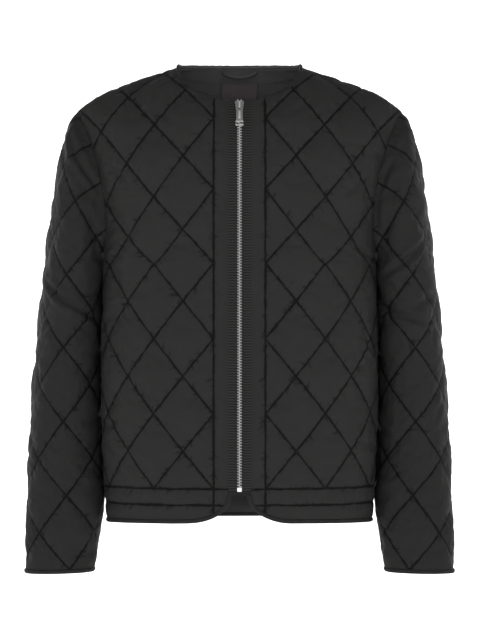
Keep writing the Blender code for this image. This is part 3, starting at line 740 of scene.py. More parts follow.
def rim_line(panel):
    """The points round the panel's edge halfway through its wall."""
    edge = len(panel.outline)
    ahead = np.roll(panel.outline, -1, 0) - np.roll(panel.outline, 1, 0)
    way_out = unit(np.stack([ahead[:, 1], -ahead[:, 0]], -1))
    further_in = panel.outline - way_out * RIM_TEST
    further_out = panel.points[:edge] * 2 - panel.cloth.locate(further_in)[0]
    rim = mix(panel.points[:edge], further_out, fold_of_edge(panel)[:, None])
    return rim - panel.normals[:edge] * RIM_DEPTH


def quilted(name, node, panel, materials):
    """One closed shell of outer layer, lining and the rim between them. Returns the outer layer's tree."""
    outer, faces, flat, middles = outer_layer(name, panel)
    deep = QUILT_WALL + panel.lift_of_puff(LINING_PUFF) * lining_freedom(panel)
    lining = panel.points - panel.normals * deep[:, None]
    lining_at, edge = len(outer), len(panel.outline)
    rim_at = lining_at + len(lining)
    inner = [tuple(lining_at + i for i in face[::-1]) for face in panel.turned(panel.faces)]
    sides = []
    for i in range(edge):
        j = (i + 1) % edge
        m = middles[min(i, j), max(i, j)]
        sides += [(i, rim_at + i, m), (m, rim_at + i, rim_at + j), (m, rim_at + j, j)]
        sides += [(rim_at + i, lining_at + i, lining_at + j, rim_at + j)]
    points = np.concatenate([outer, lining, rim_line(panel)])
    piece = add_mesh(name, points, faces + inner + panel.turned(sides), materials)
    note_flat(piece.data, np.concatenate([flat, panel.flat, panel.outline]))
    set_materials(piece.data, [0] * len(faces) + [1] * len(inner) + [0] * len(sides))
    piece.data.set_sharp_from_angle(angle=radians(70))
    placed(piece, node)
    return BVHTree.FromPolygons(outer.tolist(), faces)


def lining_freedom(panel):
    """The lining lies flat high up, under the neck's facing and label."""
    return fade(FLAT_LINING_Z - panel.points[:, 2], FREE_LINING_REACH)


def fold_of_edge(panel):
    """How far the rim rounds out: only the fronts' folded edges beside the zip show it."""
    if not panel.quilting.upright:
        return np.zeros(len(panel.outline))
    return np.where(np.abs(panel.outline[:, 0]) < FRONT_EDGE_X + EDGE_FOLD_REACH, EDGE_FOLD, 0.0)


# ---------------------------------------------------------------- stitches

STITCH_PITCH, STITCH_LENGTH, THREAD = 0.0034, 0.0027, 0.00046
STITCH_FROM_EDGE, STITCH_FROM_BAND, EDGE_STITCH = 0.0022, 0.0005, 0.003
STITCH_TEST = 0.0015


def stitch_places(panel):
    """(places, directions) of the quilting's stitches on the flat cut."""
    quilting, outline = panel.quilting, panel.outline
    reach = np.linalg.norm(np.ptp(outline, axis=0)) + abs(outline).max()
    steps = np.arange(-reach, reach, STITCH_PITCH)
    rows = []
    for way in (1, -1):
        direction = np.array([CELL_WIDTH, -way * CELL_HEIGHT]) / DIAGONAL
        across = np.array([CELL_HEIGHT, way * CELL_WIDTH]) / DIAGONAL
        lines = np.arange(-int(reach / LINE_SPACING), int(reach / LINE_SPACING) + 1) * LINE_SPACING
        places = (lines[:, None, None] * across + steps[None, :, None] * direction).reshape(-1, 2)
        places += (quilting.start, 0)
        rows.append((places[~quilting.plain(places, STITCH_FROM_BAND)], direction))
    beside_zip = np.copysign(FRONT_EDGE_X + EDGE_STITCH, quilting.start)
    for line in (quilting.start, beside_zip) if quilting.upright else ():
        rows.append((np.stack([np.full(len(steps), line), steps], -1), np.array([0.0, 1.0])))
    for level in quilting.levels:
        rows.append((np.stack([steps, np.full(len(steps), level)], -1), np.array([1.0, 0.0])))
    places = np.concatenate([row for row, _ in rows])
    directions = np.concatenate([np.broadcast_to(direction, row.shape) for row, direction in rows])
    low, high = outline.min(0), outline.max(0)
    boxed = ((places > low) & (places < high)).all(1)
    places, directions = places[boxed], directions[boxed]
    keep = inside(places, outline)
    places, directions = places[keep], directions[keep]
    keep = nearest_distance(places, outline) > STITCH_FROM_EDGE
    return places[keep], directions[keep]


def stitch_mesh(name, points, along, normals, length):
    """One long bead for each stitch, its ends sunk in the cloth."""
    half, sunk = along * length / 2, -normals * THREAD * 0.4
    out, aside = normals * THREAD * 0.6, np.cross(normals, along) * THREAD / 2
    shape = [points + step for step in (half + sunk, aside, out, -aside, -out, -half + sunk)]
    ring = (1, 2, 3, 4)
    corners = [(0, a, b) for a, b in zip(ring, ring[1:] + ring[:1])]
    corners += [(5, b, a) for _, a, b in corners]
    faces = (np.arange(len(points))[:, None, None] * len(shape) + np.array(corners)).reshape(-1, 3)
    return add_mesh(name, np.stack(shape, 1).reshape(-1, 3), faces.tolist(), [sewing_thread])


def sewn(name, tree, points, along, normals, reach, length=STITCH_LENGTH):
    """Stitches where rays against the normals meet the cloth's outer face."""
    found = [tree.ray_cast(Vector(p + n * reach), Vector(-n), 2 * reach)[0] for p, n in zip(points, normals)]
    hit = np.array([place is not None for place in found])
    points = np.array([place for place in found if place is not None])
    placed(stitch_mesh(name, points, along[hit], normals[hit], length), None)


def panel_stitches(name, panel, tree):
    places, directions = stitch_places(panel)
    to_edge = nearest_distance(places, panel.outline)
    points, normals = panel.place(places, to_edge)
    ahead, _ = panel.place(places + directions * STITCH_TEST, to_edge)
    behind, _ = panel.place(places - directions * STITCH_TEST, to_edge)
    along = unit(ahead - behind)
    sewn(name, tree, points, along, square_to(normals, along), 0.01)


# ---------------------------------------------------------------- finishes


class Finish:
    """A procedural material, built up node by node."""

    def __init__(self, name, colour, roughness, metallic=0.0, specular=0.5):
        self.material = bpy.data.materials.new(name)
        self.material.use_nodes = True
        self.tree = self.material.node_tree
        self.shader = self.tree.nodes["Principled BSDF"]
        self.colour = colour
        self.shader.inputs["Base Color"].default_value = (*colour, 1.0)
        self.shader.inputs["Roughness"].default_value = roughness
        self.shader.inputs["Metallic"].default_value = metallic
        self.shader.inputs["Specular IOR Level"].default_value = specular

    def node(self, kind, values=(), **settings):
        made = self.tree.nodes.new(kind)
        for name, value in settings.items():
            setattr(made, name, value)
        for socket, value in zip(made.inputs, values):
            self.give(socket, value)
        return made

    def give(self, socket, value):
        if isinstance(value, bpy.types.NodeSocket):
            self.tree.links.new(value, socket)
        elif value is not None:
            socket.default_value = value

    def math(self, operation, *values):
        return self.node("ShaderNodeMath", values, operation=operation).outputs[0]

    def place(self):
        """(x, y, z) in the piece's own coordinates."""
        where = self.node("ShaderNodeTexCoord").outputs["Object"]
        return self.node("ShaderNodeSeparateXYZ", [where]).outputs

    def flat_place(self):
        """(u, v) on the flat cut."""
        where = self.node("ShaderNodeAttribute", attribute_name="flat").outputs["Vector"]
        return self.node("ShaderNodeSeparateXYZ", [where]).outputs

    def noise(self, scale, detail=2.0, vector=None, stretch=(1, 1, 1)):
        if vector is None:
            vector = self.node("ShaderNodeTexCoord").outputs["Object"]
        mapped = self.node("ShaderNodeMapping", [vector])
        mapped.inputs["Scale"].default_value = stretch
        made = self.node("ShaderNodeTexNoise")
        self.give(made.inputs["Vector"], mapped.outputs[0])
        made.inputs["Scale"].default_value = scale
        made.inputs["Detail"].default_value = detail
        return made.outputs[0]

    def spread(self, value, low, high, to_low=0.0, to_high=1.0):
        made = self.node("ShaderNodeMapRange", interpolation_type="SMOOTHSTEP")
        for socket, given in zip(made.inputs, (value, low, high, to_low, to_high)):
            self.give(socket, given)
        return made.outputs[0]

    def tint(self, value, low, high):
        """The base colour, times low where the value is 0 and times high where it is 1."""
        made = self.node("ShaderNodeMix", data_type="RGBA")
        self.give(made.inputs["Factor"], value)
        colours = [socket for socket in made.inputs if socket.type == "RGBA"]
        for socket, share in zip(colours, (low, high)):
            socket.default_value = (*(c * share for c in self.colour), 1.0)
        mixed = next(socket for socket in made.outputs if socket.type == "RGBA")
        self.tree.links.new(mixed, self.shader.inputs["Base Color"])

    def rough(self, value, low, high):
        self.tree.links.new(self.spread(value, 0.0, 1.0, low, high), self.shader.inputs["Roughness"])

    def bump(self, height, distance, strength=1.0):
        """Heights from 0 to 1, over a distance in metres. Each call adds to the last."""
        made = self.node("ShaderNodeBump")
        made.inputs["Strength"].default_value = strength
        made.inputs["Distance"].default_value = distance
        self.give(made.inputs["Height"], height)
        before = self.shader.inputs["Normal"].links
        if before:
            self.tree.links.new(before[0].from_socket, made.inputs["Normal"])
        self.tree.links.new(made.outputs[0], self.shader.inputs["Normal"])

    def weave(self, across, up, pitch):
        """Threads over and under each other, from 0 to 1."""
        waves = [self.math("SINE", self.math("MULTIPLY", place, 2 * pi / pitch)) for place in (across, up)]
        return self.math("MULTIPLY_ADD", self.math("MULTIPLY", *waves), 0.5, 0.5)


NYLON = (0.0188, 0.0188, 0.0184)
# How dark the painted shade along the stitch lines gets, how light the cloth is away from them, and how dark
# the painted shade of the gathers gets.
DARK, LIGHT, GATHER_SHADE = 0.19, 1.04, 0.45
LINE_WAVER = 0.0022
WRINKLE_REACH, WRINKLE_HEIGHT, SWELL_HEIGHT = 0.008, 0.0009, 0.0022
GATHER_PITCH = 0.0060
NYLON_WEAVE, LINING_WEAVE, TRIM_WEAVE = 0.00045, 0.0005, 0.0006


def nylon(name, quilting, share=1.0):
    """Smooth woven nylon, a little shiny and finely gathered beside its stitches, with painted shade along
    the stitch lines and painted shade of the gathers.
    """
    finish = Finish(name, tuple(c * share for c in NYLON), 0.48, specular=0.03)
    u, v, _ = finish.flat_place()
    flat = finish.node("ShaderNodeAttribute", attribute_name="flat").outputs["Vector"]
    sway = finish.math("MULTIPLY_ADD", finish.noise(55, 2, flat), LINE_WAVER, -LINE_WAVER / 2)
    s = finish.math("ADD", finish.math("SUBTRACT", u, quilting.start), sway)
    found, painted_gather_shade = 1.0, 0.0
    for i, way in enumerate((1, -1)):
        columns, rows = finish.math("DIVIDE", s, CELL_WIDTH), finish.math("DIVIDE", v, way * CELL_HEIGHT)
        line = finish.math("ADD", columns, rows)
        nearest = finish.math("ROUND", line)
        away = finish.math("SUBTRACT", line, nearest)
        away = finish.math("MULTIPLY", away, LINE_SPACING)
        up = finish.math("MULTIPLY", v, -way * CELL_HEIGHT / DIAGONAL)
        along = finish.math("MULTIPLY_ADD", s, CELL_WIDTH / DIAGONAL, up)
        row = finish.math("MULTIPLY_ADD", nearest, 3.7, 1.3 * i)
        painted_gather_shade = finish.math("MAXIMUM", painted_gather_shade, gathers(finish, along, away, row))
        found = finish.math("MINIMUM", found, finish.math("ABSOLUTE", away))
    bands, straight = [], []
    if quilting.upright:
        bands.append(finish.math("LESS_THAN", finish.math("ABSOLUTE", u), abs(quilting.start)))
        straight.append((s, v))
    if quilting.levels:
        bands.append(finish.math("LESS_THAN", v, quilting.levels[0]))
    for plain in bands:
        found = finish.math("ADD", found, plain)
        painted_gather_shade = finish.math("SUBTRACT", painted_gather_shade, plain)
    for level in quilting.levels:
        straight.append((finish.math("ADD", finish.math("SUBTRACT", v, level), sway), u))
    for away, along in straight:
        found = finish.math("MINIMUM", found, finish.math("ABSOLUTE", away))
        painted_gather_shade = finish.math("MAXIMUM", painted_gather_shade, gathers(finish, along, away, 9.0))
    cloudy = finish.noise(14, 3, flat)
    # Painted shade: the colour darkens in a band of varying width along each stitch line, where the groove's
    # shade falls.
    width = finish.spread(finish.noise(70, 2, flat), 0.35, 0.65, 0.0016, 0.0031)
    beside = finish.spread(found, 0.0004, width)
    painted_shade = finish.math("MULTIPLY", beside, finish.spread(cloudy, 0.2, 0.8, 0.9, 1.0))
    # Painted shade of the gathers: short dark ticks beside the lines.
    painted_shade = finish.math("MULTIPLY", painted_shade, finish.spread(painted_gather_shade, 0.0, 1.0, 1.0, GATHER_SHADE))
    finish.tint(painted_shade, DARK, LIGHT)
    finish.rough(cloudy, 0.47, 0.55)
    wrinkle = finish.noise(170, 3, flat, (1.0, 0.7, 1.0))
    near = finish.math("EXPONENT", finish.math("MULTIPLY", found, -1 / WRINKLE_REACH))
    height = finish.math("MULTIPLY", wrinkle, finish.math("MULTIPLY_ADD", near, 0.7, 0.3))
    finish.bump(height, WRINKLE_HEIGHT)
    finish.bump(finish.noise(26, 3, flat, (1.0, 1.6, 1.0)), SWELL_HEIGHT, 0.6)
    finish.bump(finish.weave(u, v, NYLON_WEAVE), 0.00003)
    return finish.material


def gathers(finish, along, away, row):
    """Painted shade of short folds that run out from a stitch line, from 0 to 1. Away is negative on its
    other side.
    """
    far = finish.math("ABSOLUTE", away)
    slanted = finish.math("MULTIPLY_ADD", far, 0.5, along)
    across = finish.math("MULTIPLY_ADD", finish.math("SIGN", away), 2.7, finish.math("MULTIPLY", far, 40.0))
    place = [finish.math("MULTIPLY", slanted, 1 / GATHER_PITCH), across, row]
    made = finish.node("ShaderNodeTexNoise", [finish.node("ShaderNodeCombineXYZ", place).outputs[0]])
    made.inputs["Scale"].default_value = 1.0
    made.inputs["Detail"].default_value = 2.0
    left = finish.math("MULTIPLY_ADD", far, -14.0, made.outputs[0])
    return finish.spread(left, 0.52, 0.62)


def lining_cloth():
    finish = Finish("lining", (0.0700, 0.0700, 0.0700), 0.55, specular=0.15)
    u, v, _ = finish.flat_place()
    # Painted light: the lining is made much lighter high up near the neck, standing in for light that
    # doesn't reach inside the back.
    painted_light_near_neck = finish.spread(finish.place()[2], -0.115, -0.060, 0.15, 0.85)
    finish.tint(finish.math("MULTIPLY_ADD", finish.noise(20, 3), 0.2, painted_light_near_neck), 0.02, 1.0)
    finish.bump(finish.noise(120, 2), 0.0008, 0.7)
    finish.bump(finish.weave(u, v, LINING_WEAVE), 0.00003)
    return finish.material


def thread():
    finish = Finish("thread", (0.0062, 0.0062, 0.0062), 0.5, specular=0.08)
    finish.tint(finish.noise(900, 2), 0.6, 1.25)
    finish.bump(finish.noise(2600, 1), 0.0001)
    return finish.material


# ---------------------------------------------------------------- the panels


def shared_seams(front, back, sleeve):
    """One direction through the walls where the sleeve meets the body, and where its own edges meet."""
    sleeve.normals[0] = sleeve.normals[-1] = unit(sleeve.normals[0] + sleeve.normals[-1])
    top = sleeve.normals[:, -1]
    top[UPPER_ROWS] = unit(top[UPPER_ROWS - 1] + top[UPPER_ROWS + 1])
    rows = np.arange(UPPER_ROWS + 1)
    for body, columns in ((front, SLEEVE_AROUND - 1 - rows), (back, rows)):
        both = unit(body.normals[-1, LOWER_ROWS:] + top[columns])
        body.normals[-1, LOWER_ROWS:] = both
        top[columns] = both
    top[0] = top[-1] = front.normals[-1, LOWER_ROWS] = back.normals[-1, LOWER_ROWS] = unit(top[0] + top[-1])


def make_panels():
    front = Cloth(*body_surface(FRONT), (0, 0, -0.3))
    back_half = Cloth(*body_surface(BACK), (0, 0, -0.3))
    sleeve = Cloth(*sleeve_surface(), (0.24, 0.03, -0.4))
    shared_seams(front, back_half, sleeve)
    back = back_half.mirrored().joined(back_half)
    fronts = Quilting(PLACKET_STITCH, True, HEM_STITCHES), Quilting(-PLACKET_STITCH, True, HEM_STITCHES)
    whole, plain = Quilting(levels=HEM_STITCHES), Quilting()
    made = {}
    for name, cloth, quilting, creases, seed in (
        ("front_left", front, fronts[0], FRONT_LEFT_CREASES, 11),
        ("front_right", front.mirrored(), fronts[1], FRONT_RIGHT_CREASES, 23),
        ("back", back, whole, BACK_CREASES, 37),
        ("sleeve_left", sleeve, plain, SLEEVE_LEFT_CREASES, 53),
        ("sleeve_right", sleeve.mirrored(), plain, SLEEVE_RIGHT_CREASES, 71),
    ):
        made[name] = Panel(cloth, quilting, creases, seed)
    return front, back_half, sleeve, made


# Each crease: its start and its end on the flat cut, how deep and how wide it is, and how far it bows.
FRONT_LEFT_CREASES = [
    ((0.208, 0.150), (0.146, 0.100), 0.0026, 0.008, -0.004),
    ((0.214, 0.098), (0.180, 0.071), 0.0018, 0.006, 0.002),
    ((0.240, 0.006), (0.168, 0.040), 0.0026, 0.010, -0.004),
    ((0.244, -0.138), (0.196, -0.104), 0.0020, 0.009, 0.003),
    ((0.108, 0.246), (0.071, 0.213), 0.0013, 0.007, -0.002),
    ((0.058, -0.122), (0.085, -0.060), 0.0013, 0.008, 0.003),
    ((0.240, -0.262), (0.170, -0.241), 0.0019, 0.010, 0.004),
    ((0.096, -0.335), (0.124, -0.288), 0.0013, 0.008, -0.002),
    ((0.150, -0.030), (0.118, 0.012), 0.0010, 0.007, 0.002),
]
FRONT_RIGHT_CREASES = [
    ((-0.212, 0.162), (-0.158, 0.116), 0.0028, 0.008, 0.004),
    ((-0.216, 0.106), (-0.170, 0.085), 0.0021, 0.007, -0.002),
    ((-0.238, 0.026), (-0.176, 0.054), 0.0024, 0.009, 0.003),
    ((-0.244, -0.098), (-0.188, -0.070), 0.0018, 0.010, 0.004),
    ((-0.122, 0.236), (-0.086, 0.200), 0.0014, 0.008, 0.002),
    ((-0.080, -0.206), (-0.052, -0.148), 0.0014, 0.008, -0.003),
    ((-0.242, -0.236), (-0.180, -0.214), 0.0020, 0.010, -0.004),
    ((-0.152, -0.332), (-0.118, -0.290), 0.0012, 0.007, 0.002),
]
BACK_CREASES = [
    ((-0.216, 0.140), (-0.150, 0.085), 0.0030, 0.010, 0.005),
    ((-0.220, 0.080), (-0.176, 0.048), 0.0020, 0.008, -0.002),
    ((-0.236, 0.010), (-0.150, 0.030), 0.0024, 0.011, 0.004),
    ((0.218, 0.132), (0.160, 0.090), 0.0026, 0.009, -0.004),
    ((0.226, 0.050), (0.150, 0.022), 0.0028, 0.011, -0.005),
    ((0.238, -0.030), (0.192, -0.012), 0.0018, 0.008, 0.002),
    ((-0.200, -0.118), (-0.070, -0.142), 0.0020, 0.014, -0.006),
    ((0.030, -0.128), (0.168, -0.106), 0.0022, 0.015, 0.007),
    ((-0.096, -0.186), (0.040, -0.196), 0.0016, 0.013, -0.004),
    ((0.236, -0.214), (0.160, -0.192), 0.0018, 0.010, 0.003),
    ((-0.238, -0.252), (-0.176, -0.226), 0.0019, 0.010, -0.003),
    ((-0.050, 0.236), (0.044, 0.228), 0.0012, 0.012, 0.003),
]
SLEEVE_LEFT_CREASES = [
    ((0.045, 0.484), (0.143, 0.412), 0.0062, 0.0078, -0.004),
    ((0.074, 0.597), (0.125, 0.538), 0.0046, 0.0076, 0.003),
    ((0.045, 0.621), (0.072, 0.588), 0.0018, 0.006, 0.001),
    ((0.162, 0.381), (0.052, 0.349), 0.0058, 0.0078, 0.004),
    ((0.125, 0.542), (0.136, 0.486), 0.0044, 0.0076, 0.003),
    ((0.187, 0.318), (0.135, 0.294), 0.0024, 0.008, 0.003),
    ((0.092, 0.371), (0.030, 0.396), 0.0022, 0.010, -0.003),
    ((0.183, 0.213), (0.125, 0.189), 0.0026, 0.011, 0.004),
    ((0.171, 0.118), (0.096, 0.141), 0.0018, 0.010, -0.003),
    ((0.028, 0.252), (0.062, 0.205), 0.0014, 0.008, 0.002),
    ((0.155, 0.048), (0.118, 0.063), 0.0016, 0.008, 0.002),
    ((-0.179, 0.388), (-0.108, 0.359), 0.0040, 0.012, -0.006),
    ((-0.192, 0.340), (-0.105, 0.329), 0.0032, 0.010, 0.004),
    ((-0.057, 0.417), (-0.109, 0.445), 0.0026, 0.011, 0.004),
    ((-0.070, 0.579), (-0.101, 0.529), 0.0028, 0.009, 0.003),
    ((-0.179, 0.176), (-0.092, 0.163), 0.0020, 0.010, -0.003),
    ((-0.070, 0.261), (-0.026, 0.228), 0.0014, 0.009, 0.002),
]
SLEEVE_RIGHT_CREASES = [
    ((-0.026, 0.636), (-0.121, 0.544), 0.0056, 0.0078, 0.004),
    ((-0.054, 0.585), (-0.100, 0.535), 0.0028, 0.008, -0.003),
    ((-0.036, 0.418), (-0.160, 0.345), 0.0062, 0.0078, 0.004),
    ((-0.125, 0.461), (-0.099, 0.439), 0.0026, 0.009, -0.003),
    ((-0.150, 0.396), (-0.116, 0.387), 0.0030, 0.008, -0.003),
    ((-0.190, 0.328), (-0.138, 0.298), 0.0030, 0.010, -0.004),
    ((-0.069, 0.351), (-0.024, 0.330), 0.0018, 0.008, 0.002),
    ((-0.185, 0.234), (-0.117, 0.203), 0.0028, 0.011, -0.005),
    ((-0.166, 0.119), (-0.104, 0.151), 0.0017, 0.009, 0.003),
    ((-0.046, 0.174), (-0.090, 0.129), 0.0014, 0.008, -0.002),
    ((-0.157, 0.055), (-0.120, 0.039), 0.0015, 0.008, 0.002),
    ((0.170, 0.399), (0.104, 0.371), 0.0038, 0.012, 0.005),
    ((0.185, 0.346), (0.118, 0.317), 0.0030, 0.010, -0.004),
    ((0.050, 0.439), (0.101, 0.461), 0.0024, 0.010, -0.004),
    ((0.071, 0.588), (0.106, 0.541), 0.0026, 0.009, -0.003),
    ((0.175, 0.192), (0.088, 0.171), 0.0021, 0.010, 0.003),
]

front_cloth, back_cloth, sleeve_cloth, panels = make_panels()
lining, sewing_thread = lining_cloth(), thread()
nylons = {
    "front_left": nylon("nylon_front_left", panels["front_left"].quilting),
    "front_right": nylon("nylon_front_right", panels["front_right"].quilting),
    "back": nylon("nylon_back", panels["back"].quilting),
    # The sleeves' nylon is a darker copy: painted shade that tones down the brighter grazing light the
    # sleeves catch.
    "sleeve": nylon("nylon_sleeve", panels["sleeve_left"].quilting, 0.87),
}
for node, panel in panels.items():
    shell = nylons.get(node, nylons["sleeve"])
    tree = quilted(f"quilted_{node}", node, panel, [shell, lining])
    panel_stitches(f"stitches_{node}", panel, tree)


# ---------------------------------------------------------------- bindings and tapes

GATHER_SHORT, GATHER_LONG, GATHER_SIDEWAYS = 0.0058, 0.019, 0.03


def swept(name, path, normals, turn_out, profile, material, closed=False, wave=0.0, seed=0):
    """A band along a path. The profile's outline holds (across, out) pairs, and wave gathers it a little."""
    if closed:
        before, after = np.roll(path, 1, 0), np.roll(path, -1, 0)
    else:
        before, after = np.vstack([path[:1], path[:-1]]), np.vstack([path[1:], path[-1:]])
    along = unit(after - before)
    normals = square_to(normals, along)
    across = np.cross(along, normals) * turn_out
    profile = np.array(profile)
    count, sides = len(path), len(profile)
    length = length_along(path)
    swell = rounded_noise(length / GATHER_SHORT, seed) + 0.6 * rounded_noise(length / GATHER_LONG, seed + 1)
    sway = 0.7 * rounded_noise(length / GATHER_SIDEWAYS, seed + 2)
    weight = np.sign(profile[:, 1] - profile[:, 1].mean()) * np.clip(profile[:, 0] / 0.002, 0, 1)
    out = profile[:, 1] + wave * swell[:, None] * weight
    aside = profile[:, 0] + wave * sway[:, None]
    points = path[:, None] + across[:, None] * aside[..., None] + normals[:, None] * out[..., None]
    faces = []
    for i in range(count if closed else count - 1):
        j = (i + 1) % count
        for k in range(sides):
            m = (k + 1) % sides
            faces.append((i * sides + k, j * sides + k, j * sides + m, i * sides + m))
    if not closed:
        faces += [tuple(range(sides)), tuple(range((count - 1) * sides, count * sides))[::-1]]
    piece = add_mesh(name, points.reshape(-1, 3), faces, [material])
    finished(piece, 60)
    return piece


def finished(piece, sharp):
    """Turns the faces outwards, and keeps edges sharper than this many degrees."""
    mesh = bmesh.new()
    mesh.from_mesh(piece.data)
    bmesh.ops.recalc_face_normals(mesh, faces=mesh.faces)
    mesh.to_mesh(piece.data)
    mesh.free()
    piece.data.set_sharp_from_angle(angle=radians(sharp))


BINDING_WALL, BINDING_CLOTH = 0.0046, 0.0008
BINDING_STEP, BINDING_WAVE = 0.0028, 0.0003
BINDING_STITCH_PITCH, BINDING_STITCH, BINDING_STITCH_IN = 0.0031, 0.0024, 0.0014


def folded_profile(width):
    """The outline of a strip folded round the cloth's edge, from its outer seam to its inner one."""
    half = BINDING_WALL / 2
    centre = -QUILT_WALL / 2
    leg = width - half
    outer = [(-0.0007, half * 0.55), (0.0004, half * 0.98)]
    outer += [(leg * 0.5, half * 1.14), (leg * 0.85, half * 1.08)]
    outer += [(leg + half * cos(a), half * sin(a)) for a in np.radians((50, 15))]
    outer = [(x, centre + y) for x, y in outer + [(x, -y) for x, y in outer[::-1]]]
    inner = []
    for x, y in outer:
        reach = sqrt(max(0.0, x - leg) ** 2 + (y - centre) ** 2)
        share = (reach - BINDING_CLOTH) / reach
        inner.append((leg + (x - leg) * share if x > leg else x, centre + (y - centre) * share))
    return outer + inner[::-1]


def spaced(path, normals, step, closed=False):
    """The path resampled at even steps."""
    if closed:
        path, normals = np.vstack([path, path[:1]]), np.vstack([normals, normals[:1]])
    keep = np.concatenate([[True], np.linalg.norm(np.diff(path, axis=0), axis=1) > 1e-5])
    path, normals, length = evenly((path[keep], normals[keep]), path[keep], step)
    if closed:
        path, normals = path[:-1], normals[:-1]
    return path, unit(normals), length


def edge_all_round(row, front_columns, back_columns):
    """An edge of the body as one path, from the left front over the back to the right, with its normals."""
    made = []
    for name in ("points", "normals"):
        front = getattr(front_cloth, name)[front_columns, row]
        back = getattr(back_cloth, name)[back_columns, row]
        mirror = np.array((-1, 1, 1))
        made.append(np.concatenate([front[:-1], back[:0:-1], back * mirror, front[-2::-1] * mirror]))
    return made


def bind(name, node, path, normals, width, turn_out, closed=False, seed=0):
    path, normals, length = spaced(path, normals, BINDING_STEP, closed)
    profile = folded_profile(width)
    piece = swept(name, path, normals, turn_out, profile, binding_and_painted_shadow_cloth, closed, BINDING_WAVE, seed)
    # Painted light: the neck binding's inner side takes the lightened facing colour, so that its shaded side
    # doesn't show as a dark band.
    if node == "neck_binding":
        piece.data.materials.append(facing_cloth_painted_light)
        sides = np.arange(len(piece.data.polygons)) % len(profile)
        set_materials(piece.data, (sides >= len(profile) // 4) & (sides < len(profile) // 2))
    placed(piece, node)
    tree = BVHTree.FromObject(piece, bpy.context.evaluated_depsgraph_get())
    at, facing, _ = spaced(path, normals, BINDING_STITCH_PITCH, closed)
    along = unit(np.roll(at, -1, 0) - np.roll(at, 1, 0))
    if not closed:
        along[0], along[-1] = along[1], along[-2]
    facing = square_to(facing, along)
    at = at + np.cross(along, facing) * turn_out * BINDING_STITCH_IN
    sewn(f"stitches_{node}", tree, at, along, facing, 0.006, BINDING_STITCH)


def binding_finish():
    finish = Finish("binding", (0.0160, 0.0160, 0.0156), 0.55, specular=0.04)
    x, y, z = finish.place()
    finish.tint(finish.noise(60, 3), 0.7, 1.15)
    finish.bump(finish.noise(230, 2), 0.0006)
    finish.bump(finish.weave(finish.math("ADD", x, y), z, TRIM_WEAVE), 0.00004)
    return finish.material


def make_bindings():
    neck = slice(CORNER_COLUMNS * COLUMN_STEPS, NECK_COLUMNS * COLUMN_STEPS + 1)
    path, normals = edge_all_round(-1, neck, slice(0, NECK_COLUMNS * COLUMN_STEPS + 1))
    bind("binding_neck", "neck_binding", path, normals, NECK_BINDING_WIDTH, -1, seed=5)
    path, normals = edge_all_round(0, slice(None), slice(None))
    bind("binding_hem", "hem_binding", path, normals, HEM_BINDING_WIDTH, 1, seed=15)
    for side, cloth in (("left", sleeve_cloth), ("right", sleeve_cloth.mirrored())):
        path, normals = cloth.points[:-1, 0], cloth.normals[:-1, 0]
        bind(f"binding_cuff_{side}", f"cuff_binding_{side}", path, normals, CUFF_BINDING_WIDTH, -1, True, 25)


# ---------------------------------------------------------------- inside the back neck

FACING_WIDTH, FACING_HEIGHT, FACING_WALL = 0.186, 0.028, 0.001
LABEL_HALF_WIDTH, LABEL_HEIGHT, LABEL_WALL = 0.0278, 0.034, 0.001
LABEL_BELOW_EDGE, LABEL_STAND, LABEL_CURL = 0.029, 0.0008, 0.0005
FACING_BELOW_EDGE, FACING_STAND, FACING_RIPPLE = 0.0006, 0.0007, 0.0004
LOOP_HEIGHT, LOOP_WALL, LOOP_BELOW_EDGE, LOOP_SAG, LOOP_STAND = 0.006, 0.0012, 0.001, 0.0025, 0.0105
LOOP_ENDS_STAND, LOOP_BEVEL = 0.0020, 0.0004
LOOP_COLUMNS, LOOP_ROWS = 61, 5


def sheet_grid(name, outer, inner, material):
    """A closed wall between two grids of points."""
    cells, rim = grid_cells(*outer.shape[:2])
    after, total = np.roll(rim, -1), outer.shape[0] * outer.shape[1]
    edge = np.stack([rim, rim + total, after + total, after], -1)
    faces = np.concatenate([cells, (cells + total)[:, ::-1], edge]).tolist()
    piece = add_mesh(name, np.concatenate([outer.reshape(-1, 3), inner.reshape(-1, 3)]), faces, [material])
    finished(piece, 50)
    return piece


def inside_back(places, under):
    """Points inside the back at these (column, distance below the neck's edge) places, this far in."""
    column, below = places[..., 0], places[..., 1]
    low = np.clip(np.floor(np.abs(column)).astype(int), 0, NECK_COLUMNS * COLUMN_STEPS - 1)
    share = (np.abs(column) - low)[..., None]
    made = []
    for name in ("points", "normals"):
        grid = getattr(back_cloth, name)
        values = []
        for i in (low, low + 1):
            v = back_cloth.flat[..., 1]
            top = v[i, -1] - below
            found = np.empty(column.shape + (3,))
            for at in np.ndindex(column.shape):
                row = v[i[at]]
                found[at] = [np.interp(top[at], row, grid[i[at], :, axis]) for axis in range(3)]
            values.append(found)
        both = mix(values[0], values[1], share)
        both[..., 0] *= np.where(column < 0, -1, 1)
        made.append(both)
    return made[0] - unit(made[1]) * (QUILT_WALL + under[..., None])


def neck_piece(name, node, material, half_columns, count, rows, tops, heights, stands, wall):
    """A piece inside the back: its top's distance below the edge, its height, and how far it stands off."""
    columns = np.linspace(-half_columns, half_columns, count)
    t = columns / half_columns
    up = np.linspace(0, 1, rows)
    below = tops(t)[:, None] + heights(t)[:, None] * (1 - up)
    places = np.stack([np.broadcast_to(columns[:, None], below.shape), below], -1)
    stand = stands(t)[:, None] + 0 * below
    piece = sheet_grid(name, inside_back(places, stand), inside_back(places, stand + wall), material)
    placed(piece, node)
    return piece


def steady(value):
    return lambda t: np.full(len(t), value)


def rippled_height(t):
    return FACING_HEIGHT + FACING_RIPPLE * rounded_noise(t * 9, 3)


def curled_stand(t):
    return LABEL_STAND + LABEL_CURL * np.abs(t) ** 6


